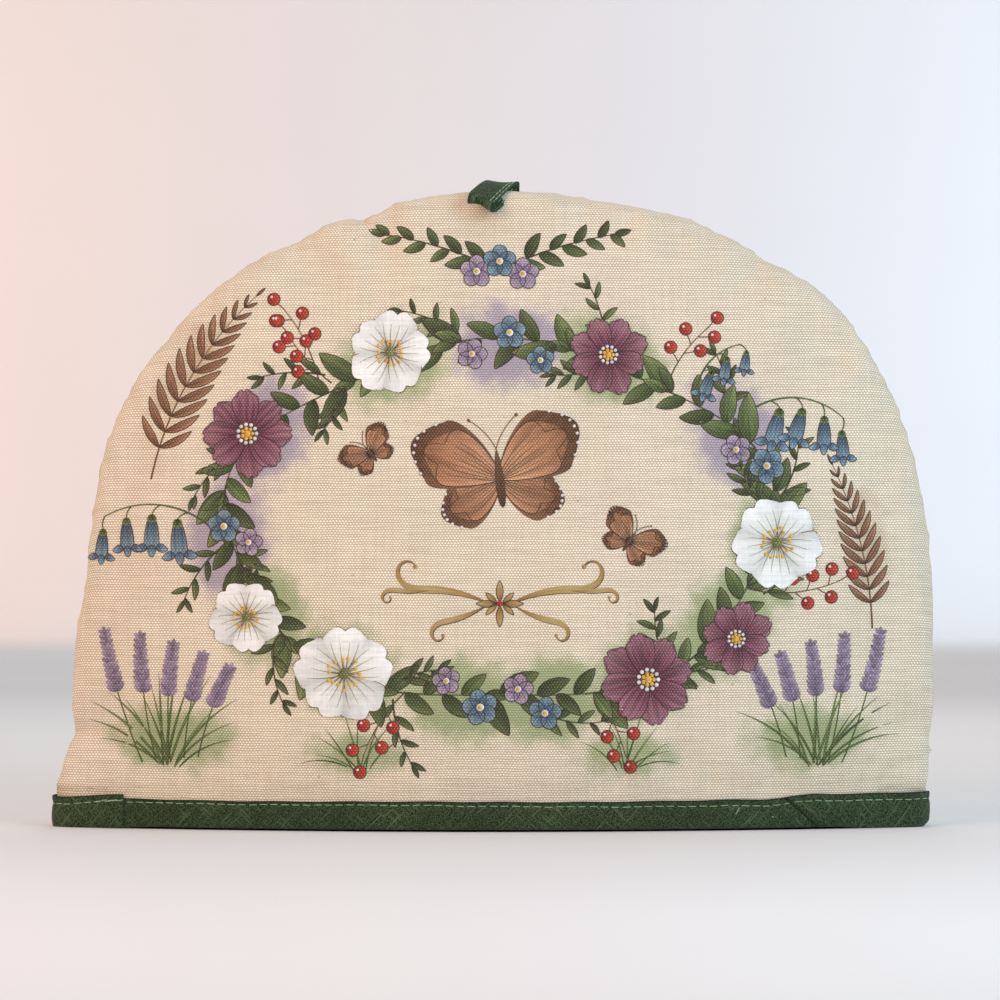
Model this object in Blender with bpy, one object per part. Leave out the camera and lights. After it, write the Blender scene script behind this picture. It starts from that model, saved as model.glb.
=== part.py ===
"""A wadded tea cosy that stands part open on its bound hem.

Metres, +Z up. The front faces -Y, and the origin is on the floor under the middle of the hem.

Each of the two panels is a wadded wall with a cloth face outside and a lining inside. The walls meet along
the arched seam, in the plane y = 0, and a folded tape binds their lower edge. A loop of the same tape is
caught in the seam at the top and flops forwards over the front.
"""

import math
from collections import namedtuple

import bmesh
import bpy
import numpy as np
from mathutils import Vector

# Driving sizes of the standing cosy.
HEM_WIDTH = 0.344
HEM_DEPTH = 0.092
HEIGHT = 0.2505

# The wadded wall.
WADDING = 0.0085
HEM_WALL = 0.0055
LINING_INSET = 0.0065
SEAM_VALLEY = 0.0014
GAP = 0.0003

# The binding tape, folded over the hem, and its overlapped end at the front left.
TAPE = 0.0012
BINDING_HEIGHT = 0.0117
BINDING_GAP = 0.0004
BINDING_ROUND = 0.0005
SHARPEST_MITRE = 0.3
OVERLAP_STEP = 0.0009
OVERLAP_RISE = 0.0013
OVERLAP_END_X = -0.143
OVERLAP_START_X = -0.160
OVERLAP_STEP_ANGLE = 0.0035
EDGE_WAVE = 0.0003
EDGE_WAVES = (5, 3)

# The tape is wider on the front right of the slanting seam that joins its two lengths.
JOIN_X = 0.115
JOIN_RISE = 0.0020
JOIN_SPREAD = 0.024

# The wall stands straight where the binding holds it, and puffs out above it.
HEM_TOP = BINDING_HEIGHT + JOIN_RISE + 0.0008
PUFF_RISE = 0.016
PANEL_FOOT = TAPE + GAP

# The arched outline: a superellipse on two nearly upright sides.
HEM_HALF = HEM_WIDTH / 2 - TAPE - BINDING_GAP
ARCH_X = 0.012
SPRING_Z = 0.100
LEFT_REACH = 0.1725
RIGHT_REACH = 0.1615
ARCH_POWER = 2.1
LEFT_FULLNESS = 0.0034
LEFT_FULL_BELOW = 0.030
HEM_FLARE_LENGTH = 0.020

# How far the middle of the hem is drawn out of the seam's plane.
BOW = HEM_DEPTH / 2 - TAPE - BINDING_GAP - HEM_WALL
HEM_CENTRE = np.array([0.0, HEM_TOP])

# Steps of the meshes. A panel's rays run from its seam to the middle of its hem, RAY_SPREAD of the whole.
SIDE_POINTS = 40
ARCH_POINTS = 240
RAYS = 88
RAY_SPREAD = 0.62
EDGE_ANGLES_DEG = (0, 20, 42, 66, 90)
FACE_STEPS = (0.07, 0.18, 0.32, 0.49, 0.66, 0.81, 0.92, 0.965, 1.0)
LINING_STEPS = (0.0, 0.08, 0.22, 0.40, 0.60, 0.80, 1.0)
HEM_STEPS = 112
SHARP_ANGLE = math.radians(50)

# Where the seam draws the wadding in: the distance along the seam from the left hem, how deep the outline
# dips there, half the dip's width, and how deep and how long the crease is that runs in from it.
Pucker = namedtuple("Pucker", "along dip half_width crease reach")
PUCKERS = (
    Pucker(along=0.0225, dip=0.0032, half_width=0.0060, crease=0.0022, reach=0.030),
    Pucker(along=0.1180, dip=0.0006, half_width=0.0090, crease=0.0006, reach=0.012),
    Pucker(along=0.1860, dip=0.0006, half_width=0.0080, crease=0.0007, reach=0.014),
    Pucker(along=0.2520, dip=0.0020, half_width=0.0080, crease=0.0012, reach=0.014),
    Pucker(along=0.2803, dip=0.0036, half_width=0.0075, crease=0.0024, reach=0.022),
    Pucker(along=0.3700, dip=0.0007, half_width=0.0080, crease=0.0008, reach=0.012),
    Pucker(along=0.4204, dip=0.0011, half_width=0.0085, crease=0.0010, reach=0.014),
    Pucker(along=0.4414, dip=0.0019, half_width=0.0090, crease=0.0010, reach=0.014),
    Pucker(along=0.5350, dip=0.0006, half_width=0.0090, crease=0.0006, reach=0.012),
    Pucker(along=0.6516, dip=0.0020, half_width=0.0070, crease=0.0014, reach=0.018),
)

# Broad unevenness of the outline: where along the seam it swells out, or in if negative, and half its width.
Swell = namedtuple("Swell", "along out half_width")
SWELLS = (
    Swell(along=0.105, out=-0.0020, half_width=0.030),
    Swell(along=0.345, out=-0.0012, half_width=0.030),
    Swell(along=0.385, out=-0.0020, half_width=0.022),
    Swell(along=0.476, out=0.0022, half_width=0.022),
    Swell(along=0.560, out=-0.0020, half_width=0.025),
)

# The hanging loop: a strip of tape whose two legs go down into a slot in the seam. It leans to the left as it
# flops forwards, and its bend is turned so that the right edge stands further off the front.
LOOP_WIDTH = 0.0105
LOOP_X = 0.005
LOOP_BEND_X = -0.0047
LOOP_ROOT_Z = 0.2449
LOOP_LEG_GAP = 0.0003
LOOP_LEG_Y = (TAPE + LOOP_LEG_GAP) / 2
LOOP_SPANS = 3
LoopPoint = namedtuple("LoopPoint", "y z")
LOOP_PATH = (
    LoopPoint(-LOOP_LEG_Y, LOOP_ROOT_Z),
    LoopPoint(-LOOP_LEG_Y, 0.2486),
    LoopPoint(-0.0020, 0.2505),
    LoopPoint(-0.0050, 0.2499),
    LoopPoint(-0.0084, 0.2476),
    LoopPoint(-0.0114, 0.2448),
    LoopPoint(-0.0145, 0.2429),
    LoopPoint(-0.0182, 0.2428),
    LoopPoint(-0.0210, 0.2450),
    LoopPoint(-0.0211, 0.2485),
    LoopPoint(-0.0181, 0.2511),
    LoopPoint(-0.0132, 0.2523),
    LoopPoint(-0.0076, 0.2525),
    LoopPoint(-0.0026, 0.2523),
    LoopPoint(0.00035, 0.2514),
    LoopPoint(LOOP_LEG_Y, 0.2490),
    LoopPoint(LOOP_LEG_Y, LOOP_ROOT_Z),
)
LOOP_BEND_ACROSS = Vector((0.90, -0.22, -0.30))
SLOT_WIDTH = LOOP_WIDTH + 2 * GAP
SLOT_DEPTH = 2 * LOOP_LEG_Y + TAPE + 2 * GAP
SLOT_FLOOR_Z = LOOP_ROOT_Z - GAP

# Base colour and roughness of each cloth.
CREAM_CANVAS = ((0.74, 0.62, 0.47), 0.9)
GREEN_COTTON = ((0.040, 0.080, 0.036), 0.85)


def clear_scene():
    """Removes every object of the scene."""
    for obj in list(bpy.data.objects):
        bpy.data.objects.remove(obj, do_unlink=True)


def cloth_material(name, look):
    """A plain cloth material of that colour and roughness."""
    colour, roughness = look
    material = bpy.data.materials.new(name)
    material.use_nodes = True
    shader = material.node_tree.nodes["Principled BSDF"]
    shader.inputs["Base Color"].default_value = (*colour, 1.0)
    shader.inputs["Roughness"].default_value = roughness
    shader.inputs["Metallic"].default_value = 0.0
    return material


def finished_object(name, bm, material):
    """An object that holds the mesh, with its faces turned out, shaded smooth."""
    bmesh.ops.recalc_face_normals(bm, faces=bm.faces)
    mesh = bpy.data.meshes.new(name)
    bm.to_mesh(mesh)
    bm.free()
    mesh.materials.append(material)
    mesh.shade_smooth()
    mesh.set_sharp_from_angle(angle=SHARP_ANGLE)
    obj = bpy.data.objects.new(name, mesh)
    bpy.context.scene.collection.objects.link(obj)
    return obj


def smooth_step(value):
    """0 below 0, 1 above 1, and an even curve between."""
    share = np.clip(value, 0.0, 1.0)
    return share * share * (3 - 2 * share)


def side_lines():
    """The two upright sides as (x, z) points: the left one upwards, the right one downwards."""
    heights = np.linspace(HEM_TOP, SPRING_Z, SIDE_POINTS)[:-1]
    flare = np.exp(-(heights - HEM_TOP) / HEM_FLARE_LENGTH)
    left_spring = LEFT_REACH - ARCH_X
    fullness = LEFT_FULLNESS * smooth_step((SPRING_Z - heights) / LEFT_FULL_BELOW)
    left = left_spring + fullness + (HEM_HALF - left_spring - LEFT_FULLNESS) * flare
    right_spring = RIGHT_REACH + ARCH_X
    right = right_spring + (HEM_HALF - right_spring) * flare
    return np.stack([-left, heights], 1), np.stack([right, heights], 1)[::-1]


def smooth_outline():
    """The silhouette without its puckers, from the left hem over the top to the right hem, evenly spaced."""
    left, right = side_lines()
    angle = np.linspace(math.pi, 0, ARCH_POINTS + 1)
    across, up = np.cos(angle), np.sin(angle)
    reach = np.where(across < 0, LEFT_REACH, RIGHT_REACH)
    power = 2 / ARCH_POWER
    arch = np.stack(
        [
            ARCH_X + reach * np.sign(across) * np.abs(across) ** power,
            SPRING_Z + (HEIGHT - SPRING_Z) * np.abs(up) ** power,
        ],
        1,
    )
    line = np.concatenate([left, arch, right])
    along = np.concatenate([[0], np.cumsum(np.linalg.norm(np.diff(line, axis=0), axis=1))])
    even = np.linspace(0, along[-1], RAYS + 1)
    points = np.stack([np.interp(even, along, line[:, axis]) for axis in (0, 1)], 1)
    return points, even


def puckered_outline():
    """(points, inward normals, crease depths, crease lengths) of the silhouette, a row for each ray."""
    points, along = smooth_outline()
    tangent = np.gradient(points, axis=0)
    inward = np.stack([tangent[:, 1], -tangent[:, 0]], 1)
    inward[0], inward[-1] = (1, 0), (-1, 0)
    inward /= np.linalg.norm(inward, axis=1)[:, None]
    dip = np.zeros(len(along))
    crease = np.zeros(len(along))
    reach = np.full(len(along), PUCKERS[0].reach)
    for pucker in PUCKERS:
        share = np.exp(-(((along - pucker.along) / pucker.half_width) ** 2))
        dip += pucker.dip * share
        reach = np.where(pucker.crease * share > crease, pucker.reach, reach)
        crease += pucker.crease * share
    for swell in SWELLS:
        dip -= swell.out * np.exp(-(((along - swell.along) / swell.half_width) ** 2))
    dip[[0, -1]] = 0
    return points + inward * dip[:, None], inward, crease, reach


def seam_share(places, seam):
    """How far out each place lies between the middle of the hem, at 0, and the seam, at 1."""

    def polar(points):
        offset = points - HEM_CENTRE
        return np.arctan2(offset[:, 1], -offset[:, 0]), np.linalg.norm(offset, axis=1)

    seam_angle, seam_radius = polar(seam)
    angle, radius = polar(places)
    return np.minimum(radius / np.interp(angle, seam_angle, seam_radius), 1)


def inward_rows(seam, steps):
    """Rows of (x, z) places that close in from the seam on the middle part of the hem."""
    hem_x = np.linspace(-HEM_HALF, HEM_HALF, len(seam)) * RAY_SPREAD
    hem = np.stack([hem_x, np.full(len(seam), HEM_TOP)], 1)
    return [seam + (hem - seam) * step for step in steps]


def face_rows(outline, inward, crease, reach):
    """The rows of (x, depth, z) points on a panel's outer face, from the seam in to the hem."""
    rows = []
    valley_angle = math.radians(EDGE_ANGLES_DEG[1])

    def add_row(places, lift):
        puff = smooth_step((places[:, 1] - HEM_TOP) / PUFF_RISE)
        pressed = HEM_WALL / WADDING + (1 - HEM_WALL / WADDING) * puff
        inset = np.linalg.norm(places - outline, axis=1)
        trough = crease * (lift / WADDING) * np.exp(-inset / reach) * puff
        bow = BOW * (1 - seam_share(places, outline) ** 2)
        rows.append(np.stack([places[:, 0], GAP / 2 + lift * pressed + bow - trough, places[:, 1]], 1))

    for degrees in EDGE_ANGLES_DEG:
        angle = math.radians(degrees)
        valley = SEAM_VALLEY * max(0.0, 1 - angle / valley_angle) ** 2
        add_row(outline + inward * (WADDING * (1 - math.cos(angle)) + valley), WADDING * math.sin(angle))
    for places in inward_rows(outline + inward * WADDING, FACE_STEPS):
        add_row(places, WADDING)
    return rows


def lining_rows(outline, inward):
    """The rows of (x, depth, z) points on a panel's inner face, from the seam in to the hem."""
    seam = outline + inward * LINING_INSET
    rows = []
    for places in inward_rows(seam, LINING_STEPS):
        depth = GAP / 2 + BOW * (1 - seam_share(places, seam) ** 2)
        rows.append(np.stack([places[:, 0], depth, places[:, 1]], 1))
    return rows


def skin(bm, rows, closed):
    """Faces between each row of vertices and the next. A closed row also joins its ends."""
    for lower, upper in zip(rows, rows[1:]):
        for i in range(len(lower) - (0 if closed else 1)):
            j = (i + 1) % len(lower)
            bm.faces.new((lower[i], lower[j], upper[j], upper[i]))


def wadded_panel(name, side, material):
    """One wadded panel. side is -1 for the front and 1 for the back."""
    outline, inward, crease, reach = puckered_outline()
    bm = bmesh.new()

    def vertices_of(row):
        return [bm.verts.new((x, side * depth, z)) for x, depth, z in row]

    face = [vertices_of(row) for row in face_rows(outline, inward, crease, reach)]
    lining = [vertices_of(row) for row in lining_rows(outline, inward)]
    skin(bm, face, closed=False)
    skin(bm, lining, closed=False)
    skin(bm, [face[0], lining[0]], closed=False)

    rim = [row[0] for row in face] + face[-1][1:-1] + [row[-1] for row in reversed(face)]
    rim += [row[-1] for row in lining] + lining[-1][-2:0:-1] + [row[0] for row in reversed(lining)]
    foot = bm.faces.new(rim)
    bmesh.ops.recalc_face_normals(bm, faces=bm.faces)
    drawn = bmesh.ops.extrude_face_region(bm, geom=[foot, *foot.edges])["geom"]
    moved = [item for item in drawn if isinstance(item, bmesh.types.BMVert)]
    bmesh.ops.translate(bm, verts=moved, vec=(0, 0, PANEL_FOOT - HEM_TOP))
    return finished_object(name, bm, material)


def hem_angles():
    """Angles round the hem, with a close pair where the tape's overlapped end steps down."""
    even = np.linspace(0, 2 * math.pi, HEM_STEPS, endpoint=False)
    end = math.acos(OVERLAP_END_X / HEM_HALF)
    kept = even[np.abs(even - end) > 2 * OVERLAP_STEP_ANGLE]
    return np.sort(np.concatenate([kept, [end - OVERLAP_STEP_ANGLE, end + OVERLAP_STEP_ANGLE]]))


def hem_loop(half_width, pressed_wall):
    """The wall's outer or inner line at the hem as a closed loop of (x, y), which starts along the front.

    pressed_wall is the thickness that rounds the loop's ends: HEM_WALL outside, and 0 for the lining.
    """
    angle = hem_angles()
    x = half_width * np.cos(angle)
    from_end = np.minimum((half_width - np.abs(x)) / WADDING, 1)
    depth = pressed_wall * np.sqrt(1 - (1 - from_end) ** 2) + BOW * (1 - (x / half_width) ** 2)
    return np.stack([x, np.where(angle < math.pi, -1, 1) * depth], 1)


def offset_loop(loop, distance):
    """The loop moved outwards by the distance, or by a distance for each point, with mitred corners."""
    before = loop - np.roll(loop, 1, axis=0)
    after = np.roll(loop, -1, axis=0) - loop
    before /= np.linalg.norm(before, axis=1)[:, None]
    after /= np.linalg.norm(after, axis=1)[:, None]
    outward = np.stack([-(before + after)[:, 1], (before + after)[:, 0]], 1)
    outward /= np.linalg.norm(outward, axis=1)[:, None]
    first_side = np.stack([-before[:, 1], before[:, 0]], 1)
    mitre = np.maximum((outward * first_side).sum(1), SHARPEST_MITRE)
    return loop + outward * (distance / mitre)[:, None]


def overlap_share(loop):
    """1 where the tape's end lies on top of its start, 0 elsewhere: a sharp end in front, a slope behind."""
    x, y = loop[:, 0], loop[:, 1]
    front = (x < OVERLAP_END_X).astype(float)
    back = smooth_step((OVERLAP_START_X - x) / (HEM_HALF + OVERLAP_START_X))
    return np.where(y < 0, front, back)


def joined_rise(loop):
    """How much higher the tape's edge lies past the seam that joins it, fading out behind the right end."""
    x, y = loop[:, 0], loop[:, 1]
    front = smooth_step((x - JOIN_X) / JOIN_SPREAD + 0.5)
    back = smooth_step((x - JOIN_X) / (HEM_HALF - JOIN_X))
    return JOIN_RISE * np.where(y < 0, front, back)


def hem_binding(material):
    """The tape that wraps the lower edge of both walls: one ring of U section, flat on the floor."""
    outer = hem_loop(HEM_HALF, HEM_WALL)
    inner = hem_loop(HEM_HALF - LINING_INSET, 0.0)
    lapped = overlap_share(outer)
    wave = EDGE_WAVE * np.sin(EDGE_WAVES[0] * hem_angles()) * np.cos(EDGE_WAVES[1] * hem_angles())
    outside = BINDING_GAP + TAPE + OVERLAP_STEP * lapped
    outer_top = BINDING_HEIGHT + wave + OVERLAP_RISE * lapped + joined_rise(outer)
    inner_top = BINDING_HEIGHT + wave
    inside = np.full(len(outer), -(BINDING_GAP + TAPE))
    bm = bmesh.new()

    def ring(loop, distance, height):
        places = offset_loop(loop, distance)
        heights = np.broadcast_to(height, len(places))
        return [bm.verts.new((x, y, z)) for (x, y), z in zip(places, heights)]

    section = [
        ring(outer, np.full(len(outer), BINDING_GAP), outer_top),
        ring(outer, outside - BINDING_ROUND, outer_top),
        ring(outer, outside, outer_top - BINDING_ROUND),
        ring(outer, outside, BINDING_ROUND),
        ring(outer, outside - BINDING_ROUND, 0.0),
        ring(inner, inside + BINDING_ROUND, 0.0),
        ring(inner, inside, BINDING_ROUND),
        ring(inner, inside, inner_top),
        ring(inner, np.full(len(inner), -BINDING_GAP), inner_top),
        ring(inner, np.full(len(inner), -BINDING_GAP), TAPE),
        ring(outer, np.full(len(outer), BINDING_GAP), TAPE),
    ]
    skin(bm, [*section, section[0]], closed=True)
    return finished_object("hem_binding", bm, material)


def smooth_path(points, spans):
    """A Catmull-Rom curve through the points, with that many steps to each span."""
    padded = [points[0] * 2 - points[1], *points, points[-1] * 2 - points[-2]]
    path = []
    for a, b, c, d in zip(padded, padded[1:], padded[2:], padded[3:]):
        slope = c - a
        curve = a * 2 - b * 5 + c * 4 - d
        turn = b * 3 - a - c * 3 + d
        for step in range(spans):
            t = step / spans
            path.append((b * 2 + slope * t + curve * t**2 + turn * t**3) / 2)
    return [*path, points[-1]]


def hanging_loop(material):
    """The loop of tape: a flat strip swept from the seam over the front edge, round its bend and back."""
    bend_y = min(point.y for point in LOOP_PATH)

    def turn_at(y):
        """How far the strip has come from the seam, at 0, to its bend, at 1."""
        return min(1.0, max(0.0, (y + LOOP_LEG_Y) / (bend_y + LOOP_LEG_Y)))

    lean = LOOP_BEND_X - LOOP_X
    path = smooth_path([Vector((LOOP_X + lean * turn_at(y), y, z)) for y, z in LOOP_PATH], LOOP_SPANS)
    bm = bmesh.new()
    strip = []
    for i, place in enumerate(path):
        tangent = (path[min(i + 1, len(path) - 1)] - path[max(i - 1, 0)]).normalized()
        across = Vector((1, 0, 0)).lerp(LOOP_BEND_ACROSS, turn_at(place.y))
        across = (across - tangent * across.dot(tangent)).normalized() * LOOP_WIDTH / 2
        out = tangent.cross(across).normalized() * TAPE / 2
        corners = (across + out, across - out, -across - out, -across + out)
        strip.append([bm.verts.new(place + corner) for corner in corners])
    skin(bm, strip, closed=True)
    bm.faces.new(strip[0])
    bm.faces.new(strip[-1])
    return finished_object("hanging_loop", bm, material)


def cut_loop_slot(panels):
    """Cuts the slot that holds the loop's legs out of the facing edges of both panels."""
    top = HEIGHT + 2 * WADDING
    bpy.ops.mesh.primitive_cube_add(size=1, location=(LOOP_X, 0, (top + SLOT_FLOOR_Z) / 2))
    cutter = bpy.context.object
    cutter.name = "loop_slot"
    cutter.scale = (SLOT_WIDTH, SLOT_DEPTH, top - SLOT_FLOOR_Z)
    cutter.hide_render = True
    cutter.display_type = "WIRE"
    for panel in panels:
        cut = panel.modifiers.new("loop_slot", "BOOLEAN")
        cut.operation = "DIFFERENCE"
        cut.object = cutter


def main():
    """Builds the four sewn pieces of the cosy."""
    clear_scene()
    front = wadded_panel("front_panel", -1, cloth_material("front_canvas", CREAM_CANVAS))
    back = wadded_panel("back_panel", 1, cloth_material("back_canvas", CREAM_CANVAS))
    hem_binding(cloth_material("hem_tape", GREEN_COTTON))
    hanging_loop(cloth_material("loop_tape", GREEN_COTTON))
    cut_loop_slot([front, back])


main()
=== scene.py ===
"""The looks of a wadded tea cosy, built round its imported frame.

Metres, +Z up. The front faces -Y, and the hem stands on the floor at z = 0. Two wadded panels of cream cotton
duck meet along the arched seam. A folded green tape binds the hem, and a loop of the same tape is caught in
the seam at the top and flops over the front. The front panel carries a flower print in flat and raised inks.
"""

import logging
import math
import random
from collections import defaultdict
from contextlib import contextmanager
from dataclasses import dataclass, field, replace
from enum import Enum
from functools import partial
from math import pi, radians, tau
from typing import Callable, Iterable, Iterator, Optional, Sequence, Union

import bpy
import numpy as np
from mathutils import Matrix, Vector, noise
from mathutils.bvhtree import BVHTree


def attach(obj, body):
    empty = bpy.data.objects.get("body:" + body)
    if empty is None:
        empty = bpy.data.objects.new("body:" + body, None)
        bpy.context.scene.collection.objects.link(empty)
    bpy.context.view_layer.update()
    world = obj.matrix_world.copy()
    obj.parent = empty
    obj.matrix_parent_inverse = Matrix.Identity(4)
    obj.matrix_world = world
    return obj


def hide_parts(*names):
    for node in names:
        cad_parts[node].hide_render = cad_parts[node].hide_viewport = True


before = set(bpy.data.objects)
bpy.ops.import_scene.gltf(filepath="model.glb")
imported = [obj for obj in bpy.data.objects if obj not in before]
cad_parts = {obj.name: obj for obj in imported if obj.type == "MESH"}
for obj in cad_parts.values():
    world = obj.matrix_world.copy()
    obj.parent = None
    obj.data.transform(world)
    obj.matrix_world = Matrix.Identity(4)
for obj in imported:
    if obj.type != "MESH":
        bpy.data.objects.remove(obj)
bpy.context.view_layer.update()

LOG = logging.getLogger("tea_cosy")
MM = 0.001

Array = np.ndarray
Piece = bpy.types.Object
Output = bpy.types.NodeSocket
Socket = Union[Output, float, Sequence[float]]
Colour = tuple[float, float, float]
Place = tuple[float, float, float]
Pair = tuple[float, float]
Spot = Sequence[float]
Shares = Union[float, Array]


# ---- Bench tools: selecting, meshes and modifiers ----


def pick(*objects: Piece) -> None:
    """Selects these objects alone, and makes the first of them active."""
    for other in list(bpy.context.selected_objects):
        other.select_set(False)
    for obj in objects:
        obj.select_set(True)
    bpy.context.view_layer.objects.active = objects[0] if objects else None


@contextmanager
def editing(obj: Piece) -> Iterator[None]:
    """Edit mode on one object, with all of it selected."""
    pick(obj)
    bpy.ops.object.mode_set(mode="EDIT")
    bpy.ops.mesh.select_all(action="SELECT")
    yield
    bpy.ops.object.mode_set(mode="OBJECT")


def read(items: Sequence, key: str) -> Array:
    """A vector property of every vertex or face as rows of x, y, z."""
    flat = np.empty(len(items) * 3)
    items.foreach_get(key, flat)
    return flat.reshape(-1, 3)


def points_of(obj: Piece) -> Array:
    """The object's vertices as rows of x, y, z."""
    return read(obj.data.vertices, "co")


def normals_of(obj: Piece) -> Array:
    """The object's vertex normals as rows of x, y, z."""
    return read(obj.data.vertex_normals, "vector")


def move_points(obj: Piece, places: Array) -> None:
    """Puts the object's vertices at these places."""
    obj.data.vertices.foreach_set("co", np.ascontiguousarray(places, dtype=np.float64).ravel())
    obj.data.update()


def apply_modifier(obj: Piece, kind: str, **settings: object) -> None:
    """Adds a modifier with these settings and applies it."""
    pick(obj)
    modifier = obj.modifiers.new(kind.lower(), kind)
    for key, value in settings.items():
        setattr(modifier, key, value)
    bpy.ops.object.modifier_apply(modifier=modifier.name)


def join_all(name: str, objects: list[Piece]) -> Piece:
    """Joins the objects into one of that name."""
    pick(*objects)
    bpy.ops.object.join()
    obj = bpy.context.object
    obj.name = obj.data.name = name
    return obj


def declare(obj: Piece, finish: Optional["Finish"], node: Optional[str] = None) -> Piece:
    """Dresses the object and makes it a piece of the cosy, in place of that node if any."""
    if finish:
        obj.data.materials.append(finish.make())
    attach(obj, "root")
    if node:
        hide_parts(node)
    return obj


def smooth_step(value: Array) -> Array:
    """0 below 0, 1 above 1, and an even curve between."""
    share = np.clip(value, 0.0, 1.0)
    return share * share * (3 - 2 * share)


def bell(value: Array, width: float) -> Array:
    """1 at 0, falling off smoothly over the width on both sides."""
    return np.exp(-((value / width) ** 2))


def unit(rows: Array) -> Array:
    """The rows, each scaled to a length of 1."""
    return rows / np.maximum(np.linalg.norm(rows, axis=-1, keepdims=True), 1e-9)


def run_along(points: Array) -> Array:
    """The distance from the first point to each of them along their line."""
    return np.concatenate([[0], np.cumsum(np.linalg.norm(np.diff(points, axis=0), axis=1))])


def uneven(places: Array, grain: float, seed: float = 0.0) -> Array:
    """Smooth noise from -1 to 1 at each place, with features about as large as the grain."""
    offset = Vector((seed, seed * 0.7, -seed))
    return np.array([noise.noise(Vector(place) / grain + offset) for place in places])


def set_attribute(obj: Piece, name: str, values: Array) -> None:
    """Stores a number, or a colour with its strength, at each vertex."""
    kind, key = ("FLOAT", "value") if values.ndim == 1 else ("FLOAT_COLOR", "color")
    layer = obj.data.attributes.get(name) or obj.data.attributes.new(name, kind, "POINT")
    layer.data.foreach_set(key, values.astype(np.float32).ravel())


def set_uv(obj: Piece, name: str, places: Array) -> None:
    """Gives the object a UV map from one (u, v) a vertex."""
    corner = np.empty(len(obj.data.loops), dtype=np.int32)
    obj.data.loops.foreach_get("vertex_index", corner)
    layer = obj.data.uv_layers.get(name) or obj.data.uv_layers.new(name=name)
    layer.data.foreach_set("uv", places[corner].astype(np.float32).ravel())


def flat_grid(name: str, rows: int, columns: int, uv: str) -> Piece:
    """A grid of that many rows and columns of points, with a UV map of that name."""
    pick()
    bpy.ops.mesh.primitive_grid_add(x_subdivisions=columns - 1, y_subdivisions=rows - 1, size=1)
    obj = bpy.context.object
    obj.name = obj.data.name = name
    obj.data.uv_layers[0].name = uv
    return obj


def swept_sheet(
    name: str, places: Array, along: Array, across: Array, wear_and_shade: Array
) -> Piece:
    """A closed skin through rows of places, capped at both ends, with a UV map "cloth" in metres.

    Args:
        name: the new object's name.
        places: an array of stations by section points by three. Each section's last point is its first.
        along: the distance along the sheet at each station.
        across: the distance across the sheet at each section point.
        wear_and_shade: how rubbed each point is, and, where it is below 0, how much painted shade darkens it.

    Returns:
        The new object.
    """
    rows, columns = places.shape[:2]
    obj = flat_grid(name, rows, columns, "cloth")
    set_uv(obj, "cloth", np.stack([np.repeat(along, columns), np.tile(across, rows)], 1))
    move_points(obj, places.reshape(-1, 3))
    set_attribute(obj, "wear_and_shade", wear_and_shade.ravel())
    with editing(obj):
        bpy.ops.mesh.remove_doubles(threshold=1e-6)
        bpy.ops.mesh.fill_holes(sides=0)
        bpy.ops.mesh.normals_make_consistent(inside=False)
    bpy.ops.object.shade_smooth()
    return obj


# ---- Finishes ----


class NodeBench:
    """Places and joins the nodes of one tree."""

    middle: Pair = (0.3, 0.7)

    def __init__(self, tree: bpy.types.NodeTree) -> None:
        """Args: tree: the node tree to work on."""
        self.tree = tree

    def add(
        self, kind: str, inputs: Optional[dict[Union[int, str], Socket]] = None, **settings: object
    ) -> bpy.types.Node:
        """Adds a node.

        Args:
            kind: the node's type, after "ShaderNode".
            inputs: a value or another node's output for each input, by number or name.
            settings: the node's own settings.

        Returns:
            The new node.
        """
        node = self.tree.nodes.new("ShaderNode" + kind)
        for key, value in settings.items():
            setattr(node, key, value)
        for key, value in (inputs or {}).items():
            if isinstance(value, Output):
                self.tree.links.new(value, node.inputs[key])
            else:
                node.inputs[key].default_value = value
        return node

    def math(self, operation: str, *values: Socket) -> Output:
        """The result of a Math node on these values."""
        return self.add("Math", dict(enumerate(values)), operation=operation).outputs[0]

    def vector(self, operation: str, *values: Socket) -> Output:
        """The result of a Vector Math node on these values."""
        return self.add("VectorMath", dict(enumerate(values)), operation=operation).outputs[0]

    def scaled(self, vector: Socket, factor: Socket) -> Output:
        """The vector or colour times a number."""
        return self.add("VectorMath", {0: vector, "Scale": factor}, operation="SCALE").outputs[0]

    def ramp(
        self, value: Socket, low: float, high: float, to_low: float = 0.0, to_high: float = 1.0
    ) -> Output:
        """The value moved smoothly from the range low to high into the range to_low to to_high."""
        inputs = {0: value, 1: low, 2: high, 3: to_low, 4: to_high}
        return self.add("MapRange", inputs, interpolation_type="SMOOTHSTEP").outputs[0]

    def shade(self, colour: Socket, mask: Socket, low: float, high: float) -> Output:
        """The colour times a number from low to high, as the mask goes over its middle range."""
        return self.scaled(colour, self.ramp(mask, *self.middle, low, high))

    def noise(self, vector: Socket, scale: float, detail: float = 2.0) -> bpy.types.Node:
        """A noise texture of that scale."""
        return self.add("TexNoise", {"Vector": vector, "Scale": scale, "Detail": detail})

    def uneven(self, vector: Socket, scale: float, low: float, high: float, detail: float = 2.0) -> Socket:
        """Noise of that scale, from low to high."""
        return self.ramp(self.noise(vector, scale, detail).outputs["Fac"], *self.middle, low, high)

    def mix(self, factor: Socket, a: Socket, b: Socket) -> Output:
        """Colour a mixed with colour b."""
        a, b = (value if isinstance(value, Output) else (*value, 1.0) for value in (a, b))
        return self.add("Mix", {0: factor, 6: a, 7: b}, data_type="RGBA").outputs[2]

    def attribute(self, name: str) -> bpy.types.Node:
        """The attribute of that name."""
        return self.add("Attribute", attribute_name=name)

    def uv(self, name: str) -> Output:
        """The UV map of that name."""
        return self.add("UVMap", uv_map=name).outputs[0]

    def here(self) -> Output:
        """The place on the finished object."""
        return self.add("TexCoord").outputs["Object"]


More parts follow.
